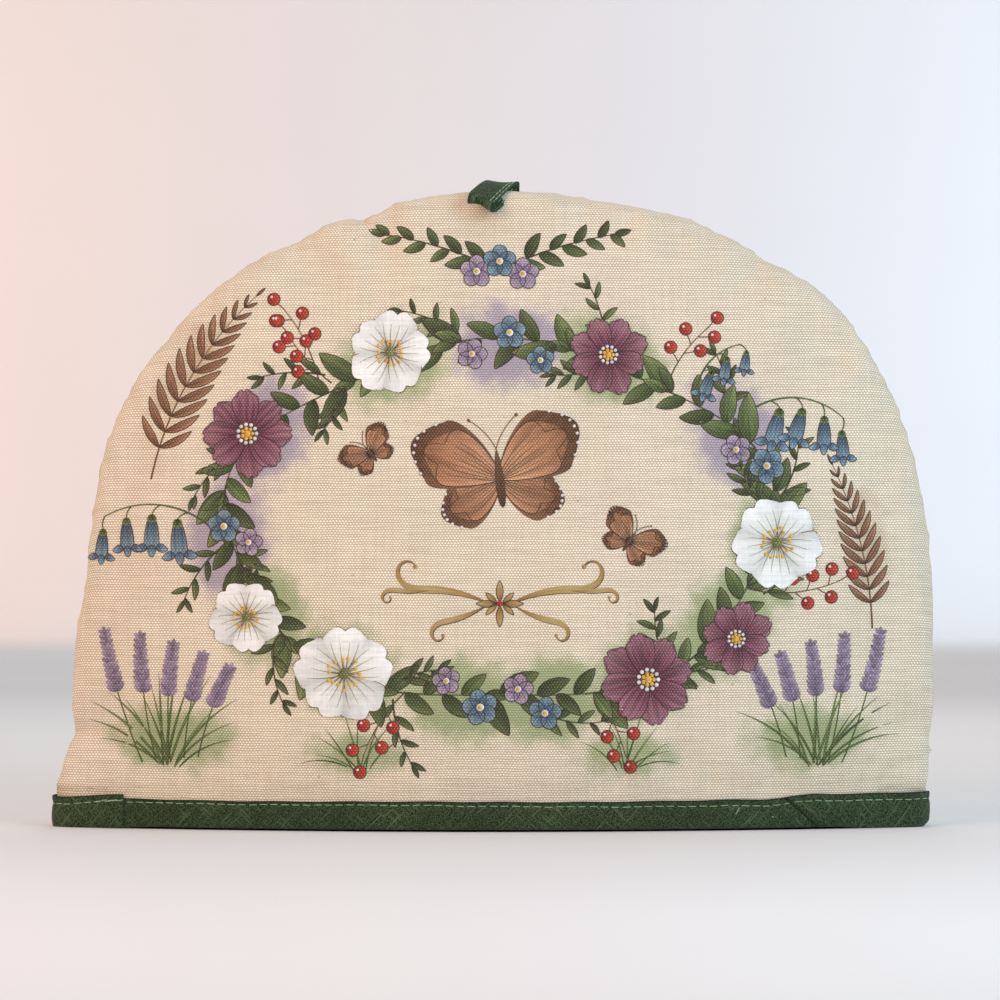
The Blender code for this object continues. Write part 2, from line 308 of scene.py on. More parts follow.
def new_group(
    name: str, inputs: dict[str, str], outputs: Sequence[str]
) -> tuple[bpy.types.NodeTree, NodeBench, dict[str, Output]]:
    """A new shader node group.

    Args:
        name: the group's name.
        inputs: the type of socket for each input's name.
        outputs: the names of its outputs, which are numbers.

    Returns:
        The group, a bench on it, and its input sockets by name.
    """
    tree = bpy.data.node_groups.new(name, "ShaderNodeTree")
    for direction, sockets in (("INPUT", inputs), ("OUTPUT", dict.fromkeys(outputs, "Float"))):
        for key, kind in sockets.items():
            tree.interface.new_socket(name=key, in_out=direction, socket_type=f"NodeSocket{kind}")
    entry = tree.nodes.new("NodeGroupInput")
    return tree, NodeBench(tree), {key: entry.outputs[key] for key in inputs}


def weave_group() -> bpy.types.NodeTree:
    """The plain weave that every cloth here shares.

    Returns:
        A group with the inputs Place, in metres on the flat cloth, and Pitch, the spacing of its warp and its
        weft. Its outputs go from 0 to 1: Height of the threads, Slub, Fleck and Mottle.
    """
    outputs = ("Height", "Slub", "Fleck", "Mottle")
    tree, bench, given = new_group("plain_weave", {"Place": "Vector", "Pitch": "Vector"}, outputs)
    place, pitch = given["Place"], given["Pitch"]

    drift = bench.vector("SUBTRACT", bench.noise(place, 230.0).outputs["Color"], (0.5, 0.5, 0.5))
    wandering = bench.vector("ADD", place, bench.vector("MULTIPLY", drift, bench.scaled(pitch, 0.75)))
    threads = bench.vector("DIVIDE", wandering, pitch)
    split = bench.add("SeparateXYZ", {0: threads}).outputs
    across, along = (bench.math("SINE", bench.math("MULTIPLY", split[axis], pi)) for axis in (0, 1))
    rows = bench.math("MULTIPLY_ADD", bench.math("ABSOLUTE", along), 0.38, 0.2)
    columns = bench.math("MULTIPLY_ADD", bench.math("ABSOLUTE", across), 0.15, rows)
    height = bench.math("MULTIPLY_ADD", bench.math("MULTIPLY", across, along), 0.27, columns)

    weft_way, warp_way = (
        bench.noise(bench.vector("MULTIPLY", threads, stretch), 1.0).outputs["Fac"]
        for stretch in ((0.03, 0.9, 1.0), (0.9, 0.03, 1.0))
    )
    scattered = bench.vector("MULTIPLY", place, (150.0, 210.0, 1.0))
    seeds = bench.add("TexVoronoi", {"Vector": scattered, "Scale": 1.0}).outputs
    chosen = bench.add("SeparateColor", {0: seeds["Color"]}).outputs[0]
    near = bench.ramp(seeds["Distance"], 0.1, 0.04)

    leave = tree.nodes.new("NodeGroupOutput")
    results = (
        height,
        bench.math("MULTIPLY_ADD", weft_way, 0.65, bench.math("MULTIPLY", warp_way, 0.35)),
        bench.math("MULTIPLY", near, bench.ramp(chosen, 0.86, 0.95)),
        bench.noise(place, 38.0, 3.0).outputs["Fac"],
    )
    for key, socket in zip(outputs, results):
        tree.links.new(socket, leave.inputs[key])
    return tree


@dataclass(frozen=True)
class Finish:
    """What every finish here has: a name, its roughness and its sheen."""

    name: str
    roughness: float = 0.9
    sheen: float = 0.12

    def paint(self, bench: NodeBench) -> tuple[Socket, Optional[Socket]]:
        """The base colour and the normal, built on the material's bench."""
        raise NotImplementedError

    def make(self) -> bpy.types.Material:
        """The material."""
        material = bpy.data.materials.new(self.name)
        material.use_nodes = True
        bench = NodeBench(material.node_tree)
        shader = material.node_tree.nodes["Principled BSDF"].inputs
        shader["Roughness"].default_value = self.roughness
        shader["Sheen Weight"].default_value = self.sheen
        shader["Sheen Roughness"].default_value = 0.6
        shader["Specular IOR Level"].default_value = 0.25
        for key, socket in zip(("Base Color", "Normal"), self.paint(bench)):
            if socket is not None:
                bench.tree.links.new(socket, shader[key])
        return material

    @staticmethod
    def weave(bench: NodeBench, place: Socket, pitch: Pair) -> bpy.types.Node:
        """The shared weave group, at this place and with this pitch of warp and weft."""
        group = bpy.data.node_groups.get("plain_weave") or weave_group()
        node = bench.add("Group", node_tree=group)
        bench.tree.links.new(place, node.inputs["Place"])
        node.inputs["Pitch"].default_value = (*pitch, 1.0)
        return node

    @staticmethod
    def relief(bench: NodeBench, height: Socket, depth: float, strength: float = 0.8) -> Output:
        """A normal from a height that goes from 0 to 1 over that depth."""
        return bench.add("Bump", {"Height": height, "Distance": depth, "Strength": strength}).outputs[0]


@dataclass(frozen=True)
class DuckFinish(Finish):
    """Cream cotton duck, or the plain cotton of the lining, on the UV map "cloth"."""

    colour: Colour = (0.97, 0.85, 0.66)
    shadow: Colour = (0.3, 0.235, 0.155)
    pitch: Pair = (0.61 * MM, 0.94 * MM)
    relief_depth: float = 0.2 * MM
    pits: float = 0.96
    washed: bool = False

    def paint(self, bench: NodeBench) -> tuple[Socket, Optional[Socket]]:
        """The pale threads, the shadowed pits between them, the washes of colour with painted shade in those
        pits, and a few dark flecks.
        """
        cloth = bench.uv("cloth")
        weave = self.weave(bench, cloth, self.pitch).outputs
        pit = bench.ramp(weave["Height"], 0.71, 0.2)
        colour = bench.mix(bench.math("MULTIPLY", pit, self.pits), self.colour, self.shadow)
        colour = bench.shade(colour, weave["Slub"], 0.9, 1.1)
        colour = bench.shade(colour, weave["Mottle"], 0.97, 1.02)
        if self.washed:
            wash = bench.attribute("wash").outputs
            ragged = bench.math("MULTIPLY_ADD", pit, 0.22, bench.noise(cloth, 120.0, 4.0).outputs["Fac"])
            strength = bench.ramp(bench.math("ADD", wash["Alpha"], ragged), 0.7, 1.35, 0.0, 0.85)
            strength = bench.math("MULTIPLY", strength, bench.ramp(wash["Alpha"], 0.0, 0.2))
            # Painted shade in the weave's pits and a painted highlight on the thread tops, on the wash as on
            # the cloth.
            thin = bench.scaled(wash["Color"], bench.ramp(pit, 0.0, 1.0, 1.25, 0.6))
            colour = bench.mix(strength, colour, thin)
        colour = bench.mix(bench.math("MULTIPLY", weave["Fleck"], 0.55), colour, (0.22, 0.14, 0.07))
        bumps = bench.math("MULTIPLY_ADD", weave["Slub"], 0.4, weave["Height"])
        return colour, self.relief(bench, bumps, self.relief_depth)


@dataclass(frozen=True)
class TapeFinish(Finish):
    """Green cotton tape cut on the bias, so that its weave runs at 45 degrees, on the UV map "cloth"."""

    roughness: float = 0.85
    sheen: float = 0.06
    colour: Colour = (0.029, 0.052, 0.018)
    worn: Colour = (0.085, 0.13, 0.062)
    pitch: Pair = (0.46 * MM, 0.6 * MM)

    def paint(self, bench: NodeBench) -> tuple[Socket, Optional[Socket]]:
        """The mottled green, its rubbed folds, long light threads on the bias, painted shade in the weave's
        pits with a painted highlight on the thread tops, and painted shade along the top fold.
        """
        turned = {"Vector": bench.uv("cloth"), "Rotation": (0, 0, radians(45))}
        bias = bench.add("Mapping", turned).outputs[0]
        weave = self.weave(bench, bias, self.pitch).outputs
        wear_and_shade = bench.attribute("wear_and_shade").outputs["Fac"]
        rubbed = bench.math("MULTIPLY", wear_and_shade, bench.ramp(weave["Slub"], 0.35, 0.6, 0.0, 0.6))
        colour = bench.mix(rubbed, self.colour, self.worn)
        colour = bench.shade(colour, weave["Slub"], 0.75, 1.3)
        # Painted shade in the weave's pits and a painted highlight on the thread tops.
        colour = bench.scaled(colour, bench.ramp(weave["Height"], 0.24, 1.0, 0.6, 1.35))
        colour = bench.scaled(colour, bench.uneven(bias, 1500.0, 0.05, 1.95))
        for stretch in ((70.0, 1500.0, 1.0), (1500.0, 70.0, 1.0)):
            way = bench.vector("MULTIPLY", bias, stretch)
            threads = bench.ramp(bench.noise(way, 1.0).outputs["Fac"], 0.6, 0.7, 0.0, 0.9)
            colour = bench.mix(threads, colour, self.worn)
        # Painted shade along the top fold, where the attribute falls below 0.
        colour = bench.scaled(colour, bench.ramp(wear_and_shade, 0.0, -1.0, 1.0, 0.4))
        colour = bench.shade(colour, weave["Mottle"], 0.85, 1.15)
        colour = bench.mix(bench.math("MULTIPLY", weave["Fleck"], 0.35), colour, (0.3, 0.36, 0.24))
        return colour, self.relief(bench, weave["Height"], 0.1 * MM)


@dataclass(frozen=True)
class ThreadFinish(Finish):
    """Twisted sewing thread."""

    roughness: float = 0.6
    sheen: float = 0.3
    colour: Colour = (0.3, 0.47, 0.27)
    twist: float = 0.45 * MM

    def paint(self, bench: NodeBench) -> tuple[Socket, Optional[Socket]]:
        """The plies of the thread, a little uneven along their way."""
        place = bench.here()
        waves = {"Vector": place, "Scale": 0.314 / self.twist, "Distortion": 1.0}
        plies = bench.add("TexWave", waves, bands_direction="DIAGONAL").outputs["Fac"]
        colour = bench.scaled(self.colour, bench.math("MULTIPLY_ADD", plies, 0.35, 0.78))
        colour = bench.scaled(colour, bench.uneven(place, 90.0, 0.8, 1.15))
        return colour, self.relief(bench, plies, 0.06 * MM, 0.6)


@dataclass(frozen=True)
class CardFinish(Finish):
    """Plain pale card, with a faint unevenness."""

    colour: Colour = (0.79, 0.79, 0.78)

    def paint(self, bench: NodeBench) -> tuple[Socket, Optional[Socket]]:
        """The colour alone."""
        return bench.scaled(self.colour, bench.uneven(bench.here(), 2.0, 0.985, 1.01)), None


# ---- The studio: camera, floor and lights ----


@dataclass(frozen=True)
class SoftLight:
    """One soft box: where it stands, what it points at, its side, its power in watts and its colour."""

    name: str
    place: Place
    aim: Place
    side: float
    power: float
    colour: Colour

    def hang(self) -> None:
        """Adds the light, which the camera doesn't see."""
        pick()
        bpy.ops.object.light_add(type="AREA", location=self.place)
        light = bpy.context.object
        light.name = self.name
        light.data.shape = "DISK"
        light.data.size = self.side
        light.data.energy = self.power
        light.data.color = self.colour
        light.visible_camera = False
        towards = Vector(self.aim) - Vector(self.place)
        light.rotation_euler = towards.to_track_quat("-Z", "Y").to_euler()


@dataclass
class Studio:
    """A level camera straight in front, a pale floor that curves up all round, and soft lights."""

    distance: float = 2.4
    metres_a_pixel: float = 0.3927 * MM
    camera_x: float = 0.0031
    camera_z: float = 0.128
    sensor: float = 36.0
    floor_radius: float = 3.3
    cove_radius: float = 1.0
    cove_steps: int = 10
    lights: tuple[SoftLight, ...] = (
        SoftLight("warm_left", (-0.66, -0.84, 0.6), (-0.08, 0, 0.12), 0.5, 4.1, (1.0, 0.54, 0.33)),
        SoftLight("cool_right", (0.66, -0.8, 0.5), (0.08, 0, 0.12), 0.5, 4.4, (0.52, 0.8, 1.0)),
        SoftLight("soft_back", (0.1, 1.15, 0.85), (0, 0, 0.12), 0.6, 2.2, (1.0, 0.96, 0.92)),
        SoftLight("warm_wall", (-0.9, 3.2, 0.9), (-0.75, 4.15, 0.4), 0.5, 5.5, (1.0, 0.42, 0.15)),
        SoftLight("cool_wall", (0.9, 3.2, 0.9), (0.75, 4.15, 0.4), 0.5, 7.8, (0.52, 0.76, 1.0)),
    )
    warm_sky: Colour = (1.0, 0.85, 0.76)
    cool_sky: Colour = (0.82, 0.94, 1.08)
    sky_strength: float = 0.75

    def set_camera(self) -> None:
        """Adds the camera at the photograph's viewing angle."""
        pick()
        place = (self.camera_x, -self.distance, self.camera_z)
        bpy.ops.object.camera_add(location=place, rotation=(pi / 2, 0, 0))
        camera = bpy.context.object
        camera.data.sensor_width = self.sensor
        camera.data.lens = self.sensor * self.distance / (self.metres_a_pixel * 1000)
        camera.data.clip_end = 50
        bpy.context.scene.camera = camera

    def lay_floor(self) -> None:
        """Adds the floor: a wide disc whose rim is extruded up in a cove and a low wall."""
        pick()
        bpy.ops.mesh.primitive_circle_add(vertices=96, radius=self.floor_radius, fill_type="NGON")
        floor = bpy.context.object
        floor.name = floor.data.name = "pale_floor"
        with editing(floor):
            bpy.ops.mesh.select_mode(type="EDGE")
            radius = self.floor_radius
            for step in range(1, self.cove_steps + 1):
                last, angle = (pi / 2 * place / self.cove_steps for place in (step - 1, step))
                rise = self.cove_radius * (math.cos(last) - math.cos(angle))
                wider = self.floor_radius + self.cove_radius * math.sin(angle)
                bpy.ops.mesh.extrude_edges_move(TRANSFORM_OT_translate={"value": (0, 0, rise)})
                scale = wider / radius
                bpy.ops.transform.resize(value=(scale, scale, 1), center_override=(0, 0, 0))
                radius = wider
            bpy.ops.mesh.select_all(action="SELECT")
            bpy.ops.mesh.normals_make_consistent(inside=True)
        bpy.ops.object.shade_smooth()
        floor.data.materials.append(CardFinish("pale_card", roughness=0.95, sheen=0.0).make())

    def light(self) -> None:
        """Hangs the lights and sets the soft light from above."""
        for light in self.lights:
            light.hang()
        world = bpy.data.worlds.new("soft_sky")
        world.use_nodes = True
        bench = NodeBench(world.node_tree)
        way = bench.add("SeparateXYZ", {0: bench.add("TexCoord").outputs["Generated"]}).outputs[0]
        colour = bench.mix(bench.ramp(way, -0.8, 0.8), self.warm_sky, self.cool_sky)
        sky = world.node_tree.nodes["Background"].inputs
        world.node_tree.links.new(colour, sky[0])
        sky[1].default_value = self.sky_strength
        bpy.context.scene.world = world

    def build(self) -> None:
        """Sets up the whole studio."""
        self.set_camera()
        self.lay_floor()
        self.light()
        bpy.context.scene.view_settings.view_transform = "Standard"
        LOG.info("studio ready")


# ---- The hem line, shared by the panels and the binding ----


@dataclass(frozen=True)
class HemLine:
    """The line of the hem seen from above, the same as in the frame, and its round right corner."""

    half_width: float = 0.1704
    wall: float = 5.5 * MM
    end_round: float = 8.5 * MM
    bow: float = 38.9 * MM
    lining_inset: float = 6.5 * MM
    corner_radius: float = 3.4 * MM

    def ring(self, angle: Array, half_width: float, wall: float) -> Array:
        """The (x, y) places of the wall's outer or inner line at these angles, the front first."""
        x = half_width * np.cos(angle)
        front = np.mod(angle, 2 * pi) < pi
        return np.stack([x, np.where(front, -1, 1) * self.depth(x, half_width, wall)], 1)

    def depth(self, x: Array, half_width: float, wall: float) -> Array:
        """How far the line is from the middle plane at each x."""
        from_end = np.clip((half_width - np.abs(x)) / self.end_round, 0, 1)
        return wall * np.sqrt(1 - (1 - from_end) ** 2) + self.bow * (1 - (x / half_width) ** 2)

    def outer(self, angle: Array) -> Array:
        """The wall's outer line."""
        return self.ring(angle, self.half_width, self.wall)

    def inner(self, angle: Array) -> Array:
        """The lining's line."""
        return self.ring(angle, self.half_width - self.lining_inset, 0.0)

    def corner_lift(self, x: Array) -> Array:
        """How far the round right corner is off the table at each x."""
        into = np.clip(x - self.half_width + self.corner_radius, 0, self.corner_radius)
        return self.corner_radius - np.sqrt(self.corner_radius**2 - into**2)


# ---- The wadded panels ----


@dataclass(frozen=True)
class Wash:
    """A soft patch of thin colour under the print: an ellipse with a ragged edge."""

    centre: Pair
    reach: Pair
    turn: float
    colour: Colour
    strength: float = 1.0

    def strength_at(self, places: Array) -> Array:
        """How strong the wash is at each (x, z) place."""
        offset = places - np.array(self.centre)
        cos, sin = math.cos(self.turn), math.sin(self.turn)
        u = (offset[:, 0] * cos + offset[:, 1] * sin) / self.reach[0]
        v = (-offset[:, 0] * sin + offset[:, 1] * cos) / self.reach[1]
        return self.strength * smooth_step(1.15 - np.hypot(u, v))


@dataclass(frozen=True)
class Crease:
    """A soft trough pressed into a panel, from one (x, z) place to another."""

    start: Pair
    end: Pair
    depth: float
    half_width: float

    def press(self, places: Array) -> Array:
        """How deep the trough is at each (x, z) place. It fades out towards its end."""
        first, last = np.array(self.start), np.array(self.end)
        run = last - first
        share = np.clip((places - first) @ run / (run @ run), 0, 1)
        off = np.linalg.norm(places - first - share[:, None] * run, axis=1)
        width = self.half_width * (1 + 0.5 * share)
        trough = np.exp(-((off / width) ** 2)) - 0.35 * np.exp(-(((off - 2.2 * width) / width) ** 2))
        return self.depth * (1 - smooth_step(share * 1.1)) * trough


FRONT_CREASES = (
    Crease((-0.051, 0.238), (-0.033, 0.218), 0.0013, 0.0018),
    Crease((-0.05, 0.237), (-0.056, 0.221), 0.0006, 0.0015),
    Crease((-0.078, 0.23), (-0.072, 0.216), 0.0008, 0.0018),
    Crease((-0.166, 0.038), (-0.135, 0.035), 0.0012, 0.0022),
    Crease((-0.166, 0.04), (-0.148, 0.052), 0.0006, 0.002),
    Crease((0.09, 0.234), (0.085, 0.222), 0.0006, 0.0018),
    Crease((0.1065, 0.225), (0.099, 0.212), 0.0006, 0.0018),
    Crease((0.171, 0.0357), (0.152, 0.034), 0.0003, 0.002),
)

CANVAS_CLOTH = dict(
    quality=5, mass=0.2, tension_stiffness=12, compression_stiffness=12, shear_stiffness=6,
    bending_stiffness=0.4, vertex_group_mass="held", pin_stiffness=1.0, use_pressure=True,
    uniform_pressure_force=4.0, shrink_min=-0.02,
)

Outline = tuple[Array, Array]


@dataclass
class WaddedPanel:
    """A wall of wadding between its cloth face and its lining, swollen by a cloth simulation."""

    name: str
    node: str
    side: int
    face: Finish
    lining: Finish
    creases: tuple[Crease, ...] = ()
    hem: HemLine = HemLine()
    voxel: float = 3.0 * MM
    seam_band: float = 1.3 * MM
    hem_top: float = 15.5 * MM
    hem_foot: float = 1.6 * MM
    centre: Pair = (0.0, 0.0145)
    edge_round: float = 8.5 * MM
    frames: int = 20
    swell_cap: float = 2.2 * MM
    draw_in: float = 0.9 * MM
    lumps: float = 0.55 * MM
    seam_dents: float = 0.07 * MM
    seam_valley: float = 0.8 * MM
    seam_hold: float = 4.0 * MM
    seam_width: float = 1.2 * MM
    seam_depth: float = 12.0 * MM
    hem_fade: float = 10.0 * MM
    rim_reach: float = 7.0 * MM
    rim_edge: float = 4.0 * MM
    lump_sizes: Pair = (0.045, 0.02)
    fill: float = 0.5
    rim_inset: float = 0.1 * MM
    rim_blend: float = 14.0 * MM
    rim_bulges: tuple[Spot, ...] = ((-1, 0.0, 0.022, 1.3 * MM), (1, 0.024, 0.011, 1.6 * MM))
    pattern: Optional[Outline] = field(init=False, default=None)
    obj: Optional[Piece] = field(init=False, default=None)

    def polar(self, places: Array) -> tuple[Array, Array]:
        """The angle and the distance of each place from the middle of the hem, seen from the front."""
        across, up = places[:, 0] - self.centre[0], np.maximum(places[:, 2] - self.centre[1], 0)
        return np.arctan2(up, across), np.hypot(across, up)

    def outline(self, places: Array, steps: int = 360) -> Outline:
        """The silhouette as a distance from the middle of the hem for each angle."""
        angle, radius = self.polar(places)
        cell = np.clip((angle / pi * steps).astype(int), 0, steps - 1)
        reach = np.zeros(steps)
        np.maximum.at(reach, cell, radius)
        angles = (np.arange(steps) + 0.5) * pi / steps
        filled = reach > 0.05
        return angles[filled], reach[filled]

    def inset(self, places: Array, line: Outline) -> Array:
        """How far inside the silhouette each place lies."""
        angle, radius = self.polar(places)
        return np.interp(angle, *line) - radius

    def copy_frame(self) -> Piece:
        """The panel's own object: the frame's shape, welded and remeshed into even faces."""
        pick(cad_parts[self.node])
        bpy.ops.object.duplicate()
        obj = bpy.context.object
        obj.parent = None
        for key in [key for key in obj.keys() if key.startswith("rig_")]:
            del obj[key]
        obj.name = obj.data.name = self.name
        obj.data.materials.clear()
        self.pattern = self.edge_line(obj)
        with editing(obj):
            bpy.ops.mesh.remove_doubles(threshold=1e-5)
        apply_modifier(obj, "REMESH", mode="VOXEL", voxel_size=self.voxel)
        apply_modifier(obj, "SMOOTH", factor=0.5, iterations=6)
        return obj

    def edge_line(self, obj: Piece) -> Outline:
        """The silhouette of a mesh of few large faces, from points spread along its edges."""
        ends = np.array([edge.vertices[:] for edge in obj.data.edges])
        corners, share = points_of(obj), np.linspace(0, 1, 25)[:, None, None]
        spread = corners[ends[:, 0]] * (1 - share) + corners[ends[:, 1]] * share
        return self.outline(spread.reshape(-1, 3), 180)

    def true_up(self, places: Array) -> None:
        """Moves the rim out or in to the frame's outline, which the remesh left in small steps."""
        angle, radius = self.polar(places)
        line = self.outline(places, 180)
        gap = np.interp(line[0], *self.pattern) - line[1] - self.rim_inset
        height = line[1] * np.sin(line[0])
        for side, middle, reach, bulge in self.rim_bulges:
            gap += bulge * bell(height - middle, reach) * (np.cos(line[0]) * side > 0)
        gap = np.convolve(np.pad(gap, 1, mode="edge"), [0.25, 0.5, 0.25], mode="valid")
        near = smooth_step(1 - (np.interp(angle, *line) - radius) / self.rim_blend)
        near *= smooth_step((places[:, 2] - self.hem_top + 0.006) / 0.003)
        shift = np.interp(angle, line[0], gap) * near
        places[:, 0] += shift * np.cos(angle)
        places[:, 2] += shift * np.sin(angle)
        hem = self.hem
        room = hem.depth(places[:, 0], hem.half_width, hem.wall) - 0.2 * MM
        bound = (places[:, 2] < self.hem_top) & (np.abs(places[:, 0]) > 0.15)
        places[bound, 1] = np.clip(places[bound, 1], -room[bound], room[bound])

    def swell(self, obj: Piece) -> None:
        """Lets the cloth face swell between its seam and its hem, then caps how far it moved."""
        start, normals = points_of(obj), normals_of(obj)
        inset = self.inset(start, self.outline(start))
        drawn = self.draw_in * smooth_step((start[:, 2] - self.hem_top) / 0.012)
        shrunk = start - normals * drawn[:, None]
        move_points(obj, shrunk)
        lining = (normals[:, 1] * self.side < -0.2) & (inset > self.rim_edge)
        held = (np.abs(start[:, 1]) < self.seam_band) | (start[:, 2] < self.hem_top) | lining
        group = obj.vertex_groups.new(name="held")
        group.add([int(i) for i in np.flatnonzero(held)], 1.0, "REPLACE")
        pick(obj)
        modifier = obj.modifiers.new("swelling", "CLOTH")
        for key, value in CANVAS_CLOTH.items():
            setattr(modifier.settings, key, value)
        modifier.settings.effector_weights.gravity = 0.0
        modifier.point_cache.frame_start = 1
        modifier.point_cache.frame_end = self.frames
        for step in range(1, self.frames + 1):
            bpy.context.scene.frame_set(step)
        bpy.ops.object.modifier_apply(modifier=modifier.name)
        bpy.context.scene.frame_set(1)
        moved = points_of(obj) - shrunk
        far = np.linalg.norm(moved, axis=1)
        LOG.info("%s swelled by %.1f mm, capped near %.1f", self.name, far.max() / MM, self.swell_cap / MM)
        moved *= (self.swell_cap * np.tanh(far / self.swell_cap) / np.maximum(far, 1e-9))[:, None]
        move_points(obj, shrunk + moved)
        obj.vertex_groups.clear()

    def finish_shape(self, obj: Piece) -> Outline:
        """Adds one subdivision, the closed seam with its valley and dents, the lumps and the creases.

        Args:
            obj: the swollen panel.

        Returns:
            The silhouette as angles and distances.
        """
        apply_modifier(obj, "SUBSURF", levels=1, render_levels=1)
        places, normals = points_of(obj), normals_of(obj)
        free = smooth_step((places[:, 2] - self.hem_top) / self.hem_fade)
        self.true_up(places)
        line = self.outline(places)
        inset = self.inset(places, line)
        outer = smooth_step((normals[:, 1] * self.side + 0.35) / 0.5) * free
        rim = np.exp(-np.maximum(inset, 0) / self.rim_reach) * outer

        flat = places.copy()
        flat[:, 1] = self.side * 0.3
        large, small = self.lump_sizes
        lumps = uneven(flat, large, 3.1 + self.side) + 0.5 * uneven(flat, small, 7.7 + self.side)
        along = self.polar(places)[0] * 0.21
        dents = np.sin(along / 0.0023 + 2.2 * np.sin(along / 0.019)) * (0.6 + 0.4 * np.sin(along / 0.031))
        dents += 0.6 * np.sin(along / 0.0041 + 1.3)
        push = self.lumps * lumps * outer + self.seam_dents * dents * rim
        for crease in self.creases:
            push -= crease.press(places[:, [0, 2]]) * outer
        edge = smooth_step((self.rim_edge - inset) / (0.75 * self.rim_edge))
        push -= self.seam_valley * bell(places[:, 1], self.seam_width) * edge * free
        away = self.side * places[:, 1]
        places += normals * push[:, None]
        meeting = smooth_step((-normals[:, 1] * self.side - 0.15) / 0.35)
        meeting *= smooth_step((self.seam_hold - away) / (0.5 * self.seam_hold)) * (inset < self.seam_depth)
        places[:, 1] *= 1 - meeting
        places[:, 1] = self.side * np.maximum(self.side * places[:, 1], 0.02 * MM)
        places[:, 2] = np.maximum(places[:, 2], self.hem_foot + self.hem.corner_lift(places[:, 0]))
        move_points(obj, places)
        return line

    def lay_cloth_map(self, obj: Piece, line: Outline) -> None:
        """Gives the panel its UV map, in metres on the flat cloth, unrolled round the edge."""
        places = points_of(obj)
        angle = self.polar(places)[0]
        inset = np.clip(self.inset(places, line), 0, self.edge_round)
        turned = np.arccos(1 - inset / self.edge_round)
        extra = self.edge_round * (pi / 2 - turned) - (self.edge_round - inset)
        extra *= smooth_step((places[:, 2] - self.centre[1]) / 0.03)
        flat = np.stack([places[:, 0] + extra * np.cos(angle), places[:, 2] + extra * np.sin(angle)], 1)
        set_uv(obj, "cloth", flat)

    def dress(self, obj: Piece, line: Outline) -> None:
        """Puts the face cloth outside and the lining inside."""
        obj.data.materials.append(self.face.make())
        obj.data.materials.append(self.lining.make())
        faces = obj.data.polygons
        inside = read(faces, "normal")[:, 1] * self.side < -0.25
        inside &= self.inset(read(faces, "center"), line) > self.rim_edge
        faces.foreach_set("material_index", inside.astype(np.int32))
        pick(obj)
        bpy.ops.object.shade_smooth()

    def wash(self, washes: Iterable[Wash]) -> None:
        """Stores the soft washes of colour that lie under the print."""
        places = points_of(self.obj)[:, [0, 2]]
        colour = np.tile(np.array([0.6, 0.6, 0.5, 0.0]), (len(places), 1))
        for wash in washes:
            share = wash.strength_at(places)
            colour[share > colour[:, 3], :3] = wash.colour
            colour[:, 3] = np.maximum(colour[:, 3], share)
        set_attribute(self.obj, "wash", colour)

    def build(self) -> Piece:
        obj = self.copy_frame()
        self.swell(obj)
        line = self.finish_shape(obj)
        self.lay_cloth_map(obj, line)
        self.dress(obj, line)
        self.obj = declare(obj, None, self.node)
        return obj


# ---- The hem: its folded tape and its stitches ----


